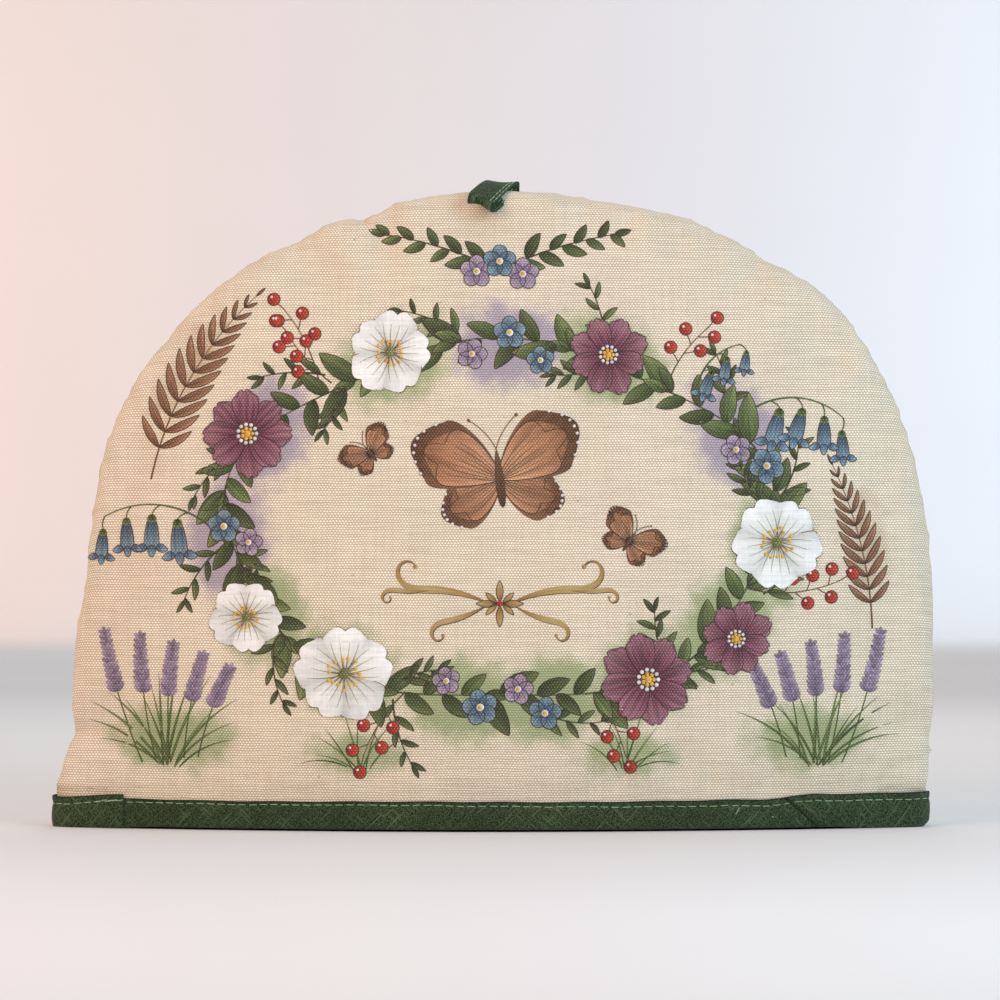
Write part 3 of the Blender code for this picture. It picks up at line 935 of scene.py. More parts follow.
@dataclass
class HemBinding:
    """A strip of tape folded over the hem, which goes round from the front left and laps its own start."""

    finish: TapeFinish
    line: HemLine = HemLine()
    height: float = 11.7 * MM
    fold: float = 0.9 * MM
    clearance: float = 0.6 * MM
    start_x: float = -0.16
    end_x: float = -0.143
    lap_out: float = 0.95 * MM
    lap_rise: float = 1.7 * MM
    lap_length: float = 0.029
    join_x: float = 0.115
    join_spread: float = 0.024
    join_rise: float = 2.0 * MM
    edge_wave: float = 0.3 * MM
    foot_lift: float = 0.8 * MM
    ripple: float = 0.22 * MM
    stitch_pull: float = 0.32 * MM
    station: float = 1.3 * MM
    seam_top: Pair = (0.1135, 0.0126)
    seam_foot: Pair = (0.1264, 0.0008)
    drops: Spot = (0.25, 0.6, 1.0, 1.4, 1.8, 2.2, 2.6, 3.0, 3.5, 4.2, 5.2, 6.4, 7.8, 9.2, 10.6)
    flat: Pair = (0.032, 0.75)

    def __post_init__(self) -> None:
        """Measures the way round the hem, from the left end along the front, right end and back."""
        self._angle = np.linspace(pi, -pi, 8001)
        self._along = run_along(self.line.outer(self._angle))
        self.length = self._along[-1]
        self.start = self.along_front(self.start_x)
        self.end = self.along_front(self.end_x) + self.length

    def along_front(self, x: float) -> float:
        """The way round to the place on the front with that x."""
        front = slice(4000, None, -1)
        return float(np.interp(math.acos(x / self.line.half_width), self._angle[front], self._along[front]))

    def rings(self, along: Array) -> tuple[Array, Array, Array, Array]:
        """The outer and inner lines at each distance along the tape, and the way out from each.

        Args:
            along: distances round the hem, which may go past one full turn.

        Returns:
            The outer places, inner places, outer normals and inner normals.
        """
        angle = np.interp(np.mod(along, self.length), self._along, self._angle)
        step = 2e-3
        found = []
        for ring in (self.line.outer, self.line.inner):
            run = ring(angle - step) - ring(angle + step)
            found += [ring(angle), unit(np.stack([run[:, 1], -run[:, 0]], 1))]
        return found[0], found[2], found[1], found[3]

    def lapped(self, along: Array) -> Array:
        """How far the tape lies on top of its own start: a slope behind, 1 in front."""
        return smooth_step((along - (self.length - 0.012)) / 0.01)

    def top(self, along: Array) -> Array:
        """The height of the tape's outer edge."""
        x, y = self.rings(along)[0].T
        half = self.line.half_width
        angle = np.interp(np.mod(along, self.length), self._along, self._angle)
        front = smooth_step((x - self.join_x) / self.join_spread + 0.5)
        back = smooth_step((x - self.join_x) / (half - self.join_x))
        wave = self.edge_wave * np.sin(5 * angle) * np.cos(3 * angle) + 0.12 * MM * np.sin(along / 0.0047)
        joined = self.join_rise * np.where(y < 0, front, back)
        slope = 0.25 + 0.75 * np.clip((x + half) / self.lap_length, 0, 1)
        return self.height + wave + joined + self.lap_rise * slope * self.lapped(along)

    def stitch_height(self, along: Array) -> Array:
        """The height of the row of topstitches."""
        x, y = self.rings(along)[0].T
        below = np.interp(x, [-0.15, -0.125, -0.06, 0.02, 0.11, 0.172], [1.6, 1.3, 1.4, 1.8, 2.6, 2.9])
        below = np.where(y < 0, below, 2.0)
        below = np.where(self.lapped(along) > 0.5, np.interp(x, [-0.172, -0.143], [3.1, 2.3]), below)
        return self.top(along) - below * MM

    def seam_gap(self, x: Array, z: Array) -> Array:
        """How far a place on the front lies from the slanting seam that joins the tape's two lengths."""
        first = np.array(self.seam_top)
        run = unit(np.array(self.seam_foot) - first)
        offset = np.stack([x - first[0], z - first[1]], -1)
        return np.abs(offset @ np.array([-run[1], run[0]]))

    def skin(self, along: Array, z: Array) -> tuple[Array, Array]:
        """The outer skin of the tape.

        Args:
            along: distances along the tape.
            z: a height for each of them.

        Returns:
            The places and the horizontal normals, as rows of x, y, z.
        """
        ring, _, out, _ = self.rings(along)
        stitched = self.stitch_height(along)
        bulge = 0.25 * MM * np.sin(np.clip(z / np.maximum(stitched, 1e-6), 0, 1) * pi)
        pulled = self.stitch_pull * bell(z - stitched, 0.9 * MM)
        sample = np.stack([ring[:, 0] / 0.009, ring[:, 1] / 0.009, z / 0.006], 1)
        ripple = self.ripple * uneven(sample, 1.0, 5.0) * smooth_step(z / 0.004)
        front = (ring[:, 1] < 0) & (along < self.length)
        groove = 0.35 * MM * bell(self.seam_gap(ring[:, 0], z), 0.7 * MM) * front
        offset = self.clearance + self.fold + self.lap_out * self.lapped(along)
        offset = offset + bulge - pulled + ripple - groove - 0.15 * MM
        places = np.concatenate([ring + out * offset[:, None], z[:, None]], 1)
        return places, np.concatenate([out, np.zeros((len(out), 1))], 1)

    def foot(self, along: Array) -> Array:
        """How far the lower fold is off the table. It rests near both ends, and one corner is round."""
        x, y = self.rings(along)[0].T
        middle = self.foot_lift * smooth_step((0.15 - np.abs(x)) / 0.02) * (y < 0)
        return middle + self.line.corner_lift(x)

    def stations(self) -> Array:
        """Distances along the tape, closer together at its end and at the slanting seam."""
        even = np.arange(self.start, self.end, self.station)
        seam = self.along_front(0.12)
        fine = np.arange(seam - 0.011, seam + 0.011, 0.4 * MM)
        close = np.arange(self.end - 0.003, self.end, 0.4 * MM)
        kept = even[(np.abs(even - seam) > 0.0112) & (even < self.end - 0.0032)]
        return np.sort(np.concatenate([kept, fine, close, [self.end]]))

    def section(self, along: Array) -> Array:
        """The folded tape's section at each station: up over its top fold, down, round its foot and back.

        Args:
            along: the distance along the tape at each station.

        Returns:
            An array of stations by section points by three.
        """
        ring, inner, out, inner_out = self.rings(along)
        lap = self.lapped(along)
        columns: list[Array] = []

        def column(line: Array, way: Array, offset: Shares, z: Shares) -> None:
            """Adds a column of points, at that offset from a line and that height."""
            places = line + way * (offset + 0 * along)[:, None]
            columns.append(np.concatenate([places, (z + 0 * along)[:, None]], 1))

        outside, inside = partial(column, ring, out), partial(column, inner, inner_out)
        cavity, roll, turn_in = self.clearance + self.lap_out * lap, self.fold / 2, 0.8 * MM
        crest = self.top(along) - roll
        for turn in np.radians([180, 130, 90, 55]):
            outside(cavity + roll + roll * np.cos(turn), crest + roll * np.sin(turn))
        for drop in self.drops:
            height = crest - drop * (crest + roll - 0.0025) / 0.0115 * MM
            columns.append(self.skin(along, np.maximum(height, 0.0011))[0])
        for turn in np.radians([25, 60, 90]):
            outside(cavity + self.fold - turn_in * (1 - np.cos(turn)) - 0.0001, turn_in * (1 - np.sin(turn)))
        lap_in = -self.clearance - self.fold
        for turn in np.radians([90, 60, 25]):
            inside(lap_in + turn_in * (1 - np.cos(turn)), turn_in * (1 - np.sin(turn)))
        inner_top = self.height + self.edge_wave * np.sin(along / 0.011) - 0.0002
        for share in (0.15, 0.35, 0.55, 0.72, 0.82, 0.9, 0.96):
            pull = 0.25 * MM * float(bell(share - 0.82, 0.07))
            inside(lap_in + pull, turn_in + (inner_top - roll - turn_in) * share)
        for turn in np.radians([180, 130, 90, 50, 0]):
            inside(-self.clearance - roll + roll * np.cos(turn), inner_top - roll + roll * np.sin(turn))
        for z in (0.006, 0.0012):
            inside(-self.clearance, z)
        for z in (0.0012, 0.006):
            outside(cavity, z)
        columns.append(columns[0])
        places = np.stack(columns, 1)
        places[..., 2] += self.foot(along)[:, None] * np.clip(1 - places[..., 2] / 0.009, 0, 1)
        return places

    def build(self) -> Piece:
        along = self.stations()
        places = self.section(along)
        across = run_along(places[len(along) // 3])
        obj = swept_sheet("green_hem_binding", places, along, across, self.wear_and_shade(along, places))
        return declare(obj, self.finish, "hem_binding")

    def wear_and_shade(self, along: Array, places: Array) -> Array:
        """How much lighter the tape is rubbed along its lower fold, and, as values below 0, the painted shade
        along its top fold where the tape meets the canvas.
        """
        patchy = 0.5 + 0.5 * uneven(places.reshape(-1, 3), 0.012, 2.0).reshape(places.shape[:2])
        # Painted shade along the top fold, where the tape's edge meets the canvas.
        dark = smooth_step(1 - (self.top(along)[:, None] - places[..., 2]) / (1.1 * MM))
        return np.clip((bell(places[..., 2], 1.2 * MM) + 0.15) * patchy, 0, 1) - 1.2 * dark


Run = Callable[[Array], tuple[Array, Array]]


@dataclass
class Stitcher:
    """Makes rows of stitches: one bead of thread modelled once, copied and bent along each stitch."""

    finish: ThreadFinish
    thickness: float = 0.34 * MM
    master: Optional[Piece] = field(init=False, default=None)
    made: list[Piece] = field(init=False, default_factory=list)

    def __post_init__(self) -> None:
        """Models the bead: a short rod with rounded ends, one unit long along X."""
        pick()
        bpy.ops.mesh.primitive_cylinder_add(
            vertices=6, radius=0.5, depth=1.0, end_fill_type="TRIFAN", rotation=(0, pi / 2, 0)
        )
        self.master = bpy.context.object
        bpy.ops.object.transform_apply(location=True, rotation=True, scale=True)
        with editing(self.master):
            for plane in (-0.42, -0.25, 0.0, 0.25, 0.42):
                bpy.ops.mesh.select_all(action="SELECT")
                bpy.ops.mesh.bisect(plane_co=(plane, 0, 0), plane_no=(1, 0, 0))
        places = points_of(self.master)
        places[:, 1:] *= np.sqrt(np.clip(1 - (np.abs(places[:, :1]) / 0.53) ** 6, 0.15, 1))
        move_points(self.master, places)
        bpy.ops.object.shade_smooth()

    def sew(self, run: Run, sink: float = 0.25 * MM) -> None:
        """Lays one stitch.

        Args:
            run: gives the places and outward normals on the cloth for shares from 0 to 1 along the stitch.
            sink: how deep its ends go into the cloth.
        """
        copy = self.master.copy()
        copy.data = self.master.data.copy()
        bpy.context.scene.collection.objects.link(copy)
        shape = points_of(self.master)
        share = shape[:, 0] + 0.5
        centre, out = run(share)
        sideways = np.cross(unit(run(share + 0.01)[0] - centre), out)
        lift = self.thickness * 0.3 - (sink + self.thickness * 0.3) * np.abs(2 * share - 1) ** 5
        rise, shift = lift + shape[:, 1] * self.thickness, shape[:, 2] * self.thickness
        move_points(copy, centre + out * rise[:, None] + sideways * shift[:, None])
        self.made.append(copy)

    def gather(self, name: str, slot: str) -> Piece:
        """Joins the stitches laid so far into one piece and dresses it."""
        obj = join_all(name, self.made)
        self.made = []
        with editing(obj):
            bpy.ops.mesh.normals_make_consistent(inside=False)
        return declare(obj, self.finish)

    def clear(self) -> None:
        """Removes the master bead."""
        bpy.data.objects.remove(self.master, do_unlink=True)


@dataclass
class HemStitches:
    """The row of topstitches round the binding, its tangled back-tack, and the join's near-black thread,
    which also stands for the shade in its stitch holes.
    """

    binding: HemBinding
    stitcher: Stitcher
    pitch: float = 4.26 * MM
    gap: float = 0.8 * MM
    seed: int = 7
    loose_ends: tuple[tuple[Pair, Pair], ...] = (
        ((0.0955, 0.009), (0.094, 0.0063)), ((0.1082, 0.0053), (0.1087, 0.0049)),
    )

    def lay(
        self, start: float, end: float, heights: Pair, sink: float, lift: float = 0.0,
        on_row: bool = True,
    ) -> None:
        """Sews one stitch on the tape.

        Args:
            start: the distance along the tape at which it starts.
            end: the distance at which it ends.
            heights: its height at its start and end, from the row of topstitches or else from the table.
            sink: how deep its ends go into the tape.
            lift: how far it stands off the tape.
            on_row: whether its heights start from the row.
        """

        def run(share: Array) -> tuple[Array, Array]:
            """The way along this stitch."""
            along = np.minimum(start + (end - start) * share, self.binding.end)
            z = heights[0] + (heights[1] - heights[0]) * share
            if on_row:
                z = z + self.binding.stitch_height(along)
            places, out = self.binding.skin(along, np.minimum(z, self.binding.top(along) - 0.4 * MM))
            return places + out * lift, out

        self.stitcher.sew(run, sink)

    def topstitch(self) -> Piece:
        """Sews the row round to its lapped end, the back-tack over that end, and two snipped threads."""
        rng = random.Random(self.seed)
        binding = self.binding
        at = binding.along_front(binding.end_x) + 0.6 * MM
        while at < binding.end - 0.004:
            length = self.pitch - self.gap + rng.uniform(-0.25, 0.25) * MM
            drift, slant = rng.uniform(-0.1, 0.1) * MM, rng.uniform(-0.06, 0.06) * MM
            self.lay(at, at + length, (drift - slant, drift + slant), 0.25 * MM)
            at += self.pitch + rng.uniform(-0.15, 0.15) * MM
        for index in range(7):
            start = binding.end - 0.0118 + 0.0016 * index + rng.uniform(-0.5, 0.5) * MM
            heights = (rng.uniform(-0.5, 0.5) * MM, rng.uniform(-0.5, 0.5) * MM)
            self.lay(start, start + rng.uniform(2.6, 3.8) * MM, heights, 0.3 * MM, 0.1 * MM)
        for (x0, z0), (x1, z1) in self.loose_ends:
            self.lay(binding.along_front(x0), binding.along_front(x1), (z0, z1), 0.05 * MM, on_row=False)
        return self.stitcher.gather("hem_topstitching", "hem_tape")

    def join(self, count: int = 9) -> Piece:
        """Sews the slanting seam that joins the tape's two lengths, as its own piece, in a near-black thread
        whose colour also stands for the shade in the stitch holes.
        """
        binding = self.binding
        top, foot = np.array(binding.seam_top), np.array(binding.seam_foot)
        for index in range(count):
            (x0, z0), (x1, z1) = (top + (foot - top) * (index + part) / count for part in (0.12, 0.8))
            ends = binding.along_front(x0), binding.along_front(x1)
            self.lay(*ends, (z0, z1), 0.15 * MM, 0.28 * MM, on_row=False)
        return self.stitcher.gather("join_seam_thread_and_shade", "hem_tape")


# ---- The hanging loop ----


@dataclass
class HangingLoop:
    """A strip of tape, folded lengthwise and stitched, whose two legs are caught in the seam.

    Its path is a table of (y, z) in millimetres. Its profile gives a side, a distance in millimetres from
    that side's edge, or from the middle for side 0, and a share of half the thickness.
    """

    finish: TapeFinish
    width: float = 10.5 * MM
    thickness: float = 1.15 * MM
    root_x: float = 0.005
    bend_x: float = -0.0047
    bend_across: Place = (0.86, 0.02, -0.52)
    steps: int = 6
    path: tuple[Pair, ...] = (
        (-0.75, 244.9), (-0.75, 248.6), (-2.0, 250.3), (-5.0, 249.6), (-8.4, 247.7), (-11.4, 245.7),
        (-14.5, 244.1), (-17.2, 243.3), (-18.9, 243.4), (-19.6, 244.4), (-18.8, 245.6), (-15.9, 247.1),
        (-12.5, 248.8), (-9.0, 250.4), (-5.4, 251.7), (-2.2, 252.2), (0.1, 251.6), (0.75, 249.2),
        (0.75, 244.9),
    )
    profile: tuple[Place, ...] = (
        (-1, 0, 0), (-1, 0.12, 0.75), (-1, 0.45, 1), (-1, 1.6, 0.92), (0, 0, 0.9), (1, -2.9, 0.95),
        (1, -2.3, 0.7), (1, -1.7, 0.9), (1, -0.9, 0.66), (1, -0.3, 1), (1, 0, 0.55), (1, -0.1, 0.12),
        (1, -0.5, 0), (1, 0.15, -0.2), (1, 0.45, -0.55), (1, 0.2, -0.95), (1, -1.2, -0.7),
        (1, -2.2, -0.95), (0, 0, -0.9), (-1, 0.45, -1), (-1, 0.12, -0.75), (-1, 0, 0),
    )
    flat: Pair = (0.012, 0.065)
    pitch: float = 2.9 * MM

    def turn_at(self, y: Array) -> Array:
        """How far the strip has come from the seam, at 0, to its bend, at 1."""
        leg, bend = self.path[-1][0] * MM, min(y for y, _ in self.path) * MM
        return np.clip((y + leg) / (bend + leg), 0, 1)

    def centre_line(self) -> Array:
        """The strip's middle line as rows of x, y, z: a Catmull-Rom curve through the path."""
        knots = np.array(self.path) * MM
        padded = np.concatenate([[knots[0] * 2 - knots[1]], knots, [knots[-1] * 2 - knots[-2]]])
        line = []
        for a, b, c, d in zip(padded, padded[1:], padded[2:], padded[3:]):
            for t in np.arange(self.steps) / self.steps:
                square, cube = a * 2 - b * 5 + c * 4 - d, b * 3 - a - c * 3 + d
                line.append((b * 2 + (c - a) * t + square * t**2 + cube * t**3) / 2)
        y, z = np.array([*line, knots[-1]]).T
        return np.stack([self.root_x + (self.bend_x - self.root_x) * self.turn_at(y), y, z], 1)

    def frames(self) -> tuple[Array, Array, Array, Array]:
        """The centre line, its length so far, and the ways across and out of the strip."""
        line = self.centre_line()
        tangent = unit(np.gradient(line, axis=0))
        turn = self.turn_at(line[:, 1])[:, None]
        across = np.array([1.0, 0, 0]) * (1 - turn) + np.array(self.bend_across) * turn
        across = unit(across - tangent * (across * tangent).sum(1)[:, None])
        return line, run_along(line), across, np.cross(tangent, across)

    def section(self) -> Array:
        """The strip's section as rows of across and out: a round fold on one side, two edges opposite."""
        side, off, up = np.array(self.profile).T
        return np.stack([side * self.width / 2 + off * MM, up * self.thickness / 2], 1)

    def build(self) -> Piece:
        line, along, across, out = self.frames()
        section = self.section()
        pinch = 1 - 0.08 * bell(along - along[-1] * 0.5, 0.006) + 0.02 * np.sin(along / 0.0035)
        sideways = across[:, None, :] * (section[:, 0][None, :] * pinch[:, None])[..., None]
        places = line[:, None, :] + sideways + out[:, None, :] * section[:, 1][None, :, None]
        wear_and_shade = np.clip(0.25 + 0.5 * uneven(places.reshape(-1, 3), 0.006, 1.0), 0, 1)
        obj = swept_sheet("green_hanging_loop", places, along, run_along(section), wear_and_shade)
        return declare(obj, self.finish, "hanging_loop")

    def stitch(self, stitcher: Stitcher) -> Piece:
        """Sews the two rows of stitches that close the strip's open edge, on both of its faces."""
        line, along, across, out = self.frames()
        rng = random.Random(11)
        for side, inset in ((1, 0.6), (-1, 0.6), (1, 1.9), (-1, 1.9)):
            row = line + across * (self.width / 2 - inset * MM)
            for at in np.arange(0.004, along[-1] - 0.006, self.pitch):
                if 0.3 < at / along[-1] < 0.51:
                    continue
                length = self.pitch * rng.uniform(0.78, 0.88)

                def run(share: Array) -> tuple[Array, Array]:
                    """The way along this stitch."""
                    place = at + share * length
                    on, way = (
                        np.stack([np.interp(place, along, rows[:, k]) for k in range(3)], 1)
                        for rows in (row, out)
                    )
                    way = unit(way) * side
                    return on + way * self.thickness * 0.38, way

                stitcher.sew(run, sink=0.12 * MM)
        return stitcher.gather("loop_stitching", "loop_tape")


# ---- The flower print ----


class Ink(Enum):
    """The inks of the print, in the order in which they are laid. Each is one piece of the scene."""

    SEPIA = "sepia"
    GREEN = "leaf_green"
    LILAC = "lilac"
    BLUE = "blue"
    PLUM = "plum"
    RED = "red"
    WHITE = "raised_white"
    YELLOW = "yellow"
    GOLD = "gold"
    BROWN = "outline_brown"


@dataclass(frozen=True)
class InkFinish(Finish):
    """One ink: its tones at the root, middle and tip of a petal, and how thick it lies.

    The colours reach the shader as the attribute "tone". Streaks follow the UV map "grain", which runs across
    and along each petal. The weave of the cloth below, in Object coordinates, shows as painted shade in its
    pits and a painted highlight on its thread tops.
    """

    tones: tuple[Colour, ...] = ()
    streaks: float = 0.25
    # How much the cloth shows through the ink, and how strong the painted pit shade and thread highlight are.
    bare: float = 0.36
    raised: float = 0.0
    edge: float = 0.1
    cloth: Colour = (0.74, 0.65, 0.49)

    def paint(self, bench: NodeBench) -> tuple[Socket, Optional[Socket]]:
        """The petal's own tone, streaked along its grain, with painted pit shade and thread highlights, and
        rubbed off the highest threads.
        """
        here = bench.add("SeparateXYZ", {0: bench.here()}).outputs
        flat = bench.add("CombineXYZ", {0: here[0], 1: here[2]}).outputs[0]
        weave = self.weave(bench, flat, DuckFinish.pitch).outputs
        stretched = bench.vector("MULTIPLY", bench.uv("grain"), (7.0, 1.3, 0.0))
        fibres = bench.vector("ADD", stretched, bench.scaled(flat, 45.0))
        tone = bench.attribute("tone").outputs["Color"]
        colour = bench.scaled(tone, bench.uneven(fibres, 1.0, 1 - self.streaks, 1 + self.streaks, 3.0))
        colour = bench.shade(colour, weave["Slub"], 0.9, 1.1)
        # Painted shade in the weave's pits and a painted highlight on the thread tops; the next line shows
        # the cloth where the ink is rubbed off the highest threads.
        bare = bench.ramp(weave["Height"], 0.24, 0.9, 1 - 1.3 * self.bare, 1 + 0.9 * self.bare)
        worn = bench.ramp(weave["Height"], 0.5, 1.0, 0.0, self.bare * 0.35)
        colour = bench.mix(worn, bench.scaled(colour, bare), self.cloth)
        depth = 0.07 * MM if self.raised else 0.16 * MM
        return colour, self.relief(bench, weave["Height"], depth)


def ink(name: str, *tones: Colour, **settings: float) -> InkFinish:
    """An ink with its tones at the root, middle and tip of a petal."""
    return InkFinish(name, tones=tones, **settings)


INKS: dict[Ink, InkFinish] = {
    Ink.SEPIA: ink("sepia_ink", (0.16, 0.07, 0.032), (0.24, 0.115, 0.06), (0.33, 0.18, 0.1)),
    Ink.GREEN: ink("leaf_green_ink", (0.055, 0.085, 0.022), (0.09, 0.13, 0.04), (0.17, 0.2, 0.075)),
    Ink.LILAC: ink("lilac_ink", (0.16, 0.11, 0.19), (0.27, 0.2, 0.29), (0.4, 0.32, 0.38)),
    Ink.BLUE: ink("blue_ink", (0.035, 0.065, 0.11), (0.085, 0.15, 0.21), (0.2, 0.3, 0.35), streaks=0.32),
    Ink.PLUM: ink("plum_ink", (0.085, 0.014, 0.032), (0.2, 0.06, 0.095), (0.33, 0.16, 0.19), streaks=0.32),
    Ink.RED: ink("red_ink", (0.24, 0.012, 0.012), (0.42, 0.028, 0.02), (0.55, 0.07, 0.04)),
    Ink.WHITE: ink(
        "raised_white_ink", (0.46, 0.5, 0.33), (0.78, 0.79, 0.74), (0.9, 0.9, 0.88),
        streaks=0.05, bare=0.04, raised=0.28 * MM, edge=-0.3, roughness=0.75,
    ),
    Ink.YELLOW: ink(
        "yellow_ink", (0.4, 0.17, 0.02), (0.7, 0.38, 0.05), (0.78, 0.52, 0.12), bare=0.08, raised=0.12 * MM
    ),
    Ink.GOLD: ink(
        "gold_brown_ink", (0.2, 0.095, 0.035), (0.36, 0.22, 0.07), (0.46, 0.34, 0.14),
        streaks=0.2, bare=0.1, roughness=0.6,
    ),
    Ink.BROWN: ink(
        "outline_ink", (0.035, 0.022, 0.018), (0.045, 0.03, 0.024), (0.06, 0.04, 0.03),
        streaks=0.1, bare=0.1,
    ),
}


@dataclass(frozen=True)
class Outlined:
    """The outline of a petal or a leaf: how its width grows and falls along it, and how its end is cut."""

    rise: float
    fall: float
    blunt: float = 0.0
    corner: float = 0.0
    notch: float = 0.0
    rows: int = 9
    columns: int = 5

    def steps(self) -> Array:
        """Shares along the petal, closer together at both ends."""
        return (1 - np.cos(np.linspace(0, pi, self.rows))) / 2

    def half_width(self, share: Array) -> Array:
        """Half the width at each share along it, at most about 1."""
        best = self.rise / (self.rise + self.fall)
        peak = best**self.rise * (1 - best) ** self.fall
        body = share**self.rise * (1 - share) ** self.fall / peak
        return (1 - self.blunt) * body + self.blunt * share**0.6

    def reach(self, share: Array, side: Array) -> Array:
        """How far along a point lies, once the end is cut to its corners and notch."""
        cut = self.corner * np.abs(side) ** 3 + self.notch * bell(side, 0.3)
        return share * (1 - cut * share**2)


OVATE = Outlined(0.62, 0.85)
LANCE = Outlined(0.8, 0.95)
GRASS = Outlined(0.35, 0.9, rows=11, columns=2)
HEART = Outlined(1.05, 0.42, blunt=0.55, corner=0.3, notch=0.13, rows=10, columns=9)
FRILLED = Outlined(0.8, 0.45, blunt=0.5, corner=0.16, notch=0.08, columns=7)
ROUND = Outlined(0.5, 0.5, rows=7)
TINY = Outlined(0.5, 0.5, rows=5, columns=3)
SEPAL = Outlined(0.45, 0.75, rows=8)
BELL = Outlined(0.5, 0.8, blunt=0.78, corner=-0.08, rows=10, columns=7)
WING = Outlined(0.85, 0.42, blunt=0.35, corner=0.22, rows=17, columns=13)


@dataclass(frozen=True)
class Petal:
    """A kind of petal or leaf.

    Attributes:
        ink: its ink.
        shape: its outline.
        slim: its width against its length.
        veins: how many veins it has: 1 is a midrib.
        halves: how dark its left half is against its right.
        light: how much lighter than the ink it is.
        pen: the ink of its outline and veins, if it has them.
        over: how many layers above it these lie.
        flipped: whether its colours run from the tip to the root.
    """

    ink: Ink
    shape: Outlined
    slim: float
    veins: int = 0
    halves: float = 1.0
    light: float = 1.0
    pen: Optional[Ink] = Ink.BROWN
    over: float = 0.5
    flipped: bool = False


BROAD_LEAF = Petal(Ink.GREEN, OVATE, 0.42, veins=1, halves=0.62)
SLIM_LEAF = Petal(Ink.GREEN, LANCE, 0.3, veins=1, halves=0.62)
LEAFLET = Petal(Ink.SEPIA, LANCE, 0.22, veins=1, halves=0.7, light=1.35)
GRASS_BLADE = Petal(Ink.GREEN, GRASS, 0.03, pen=None)
ROSE_PETAL = Petal(Ink.WHITE, HEART, 1.12, veins=4, pen=Ink.SEPIA, over=1.6)
COSMOS_PETAL = Petal(Ink.PLUM, FRILLED, 0.66, veins=3)
BELL_BODY = Petal(Ink.BLUE, BELL, 0.56, veins=3)
BELL_LIP = Petal(Ink.BLUE, SEPAL, 0.67, light=1.45)
BELL_CAP = Petal(Ink.GREEN, SEPAL, 0.58, pen=None)
FLORET = Petal(Ink.LILAC, TINY, 0.52, pen=None)
WING_EDGE = Petal(Ink.SEPIA, WING, 0.78, light=0.75, pen=None, flipped=True)
WING_FIELD = Petal(Ink.SEPIA, WING, 0.76, veins=7, light=1.75, pen=Ink.BROWN, over=1.5, flipped=True)
WING_BODY = Petal(Ink.SEPIA, SEPAL, 0.16, light=0.5, pen=None)
GOLD_LEAF = Petal(Ink.GOLD, LANCE, 0.34)


@dataclass(frozen=True)
class Sweep:
    """A line of the drawing that bends evenly to the left, in millimetres and radians."""

    start: Spot
    heading: float
    length: float
    bend: float = 0.0

    def at(self, share: Shares) -> tuple[Array, Array]:
        """The places and the headings at shares from 0 to 1 along it, in an array of any shape."""
        bend = self.bend or 1e-6
        way = self.heading + bend * np.asarray(share, dtype=float)
        x = self.start[0] + self.length / bend * (np.sin(way) - math.sin(self.heading))
        y = self.start[1] - self.length / bend * (np.cos(way) - math.cos(self.heading))
        return np.stack([x, y], -1), way

    def points(self, count: int) -> Array:
        """That many places, evenly spaced along it."""
        return self.at(np.linspace(0, 1, count))[0]


def towards(way: Shares) -> Array:
    """The step of 1 that way."""
    return np.stack([np.cos(way), np.sin(way)], -1)


def to_right(way: Shares) -> Array:
    """The step of 1 to the right of that way."""
    return np.stack([np.sin(way), -np.cos(way)], -1)


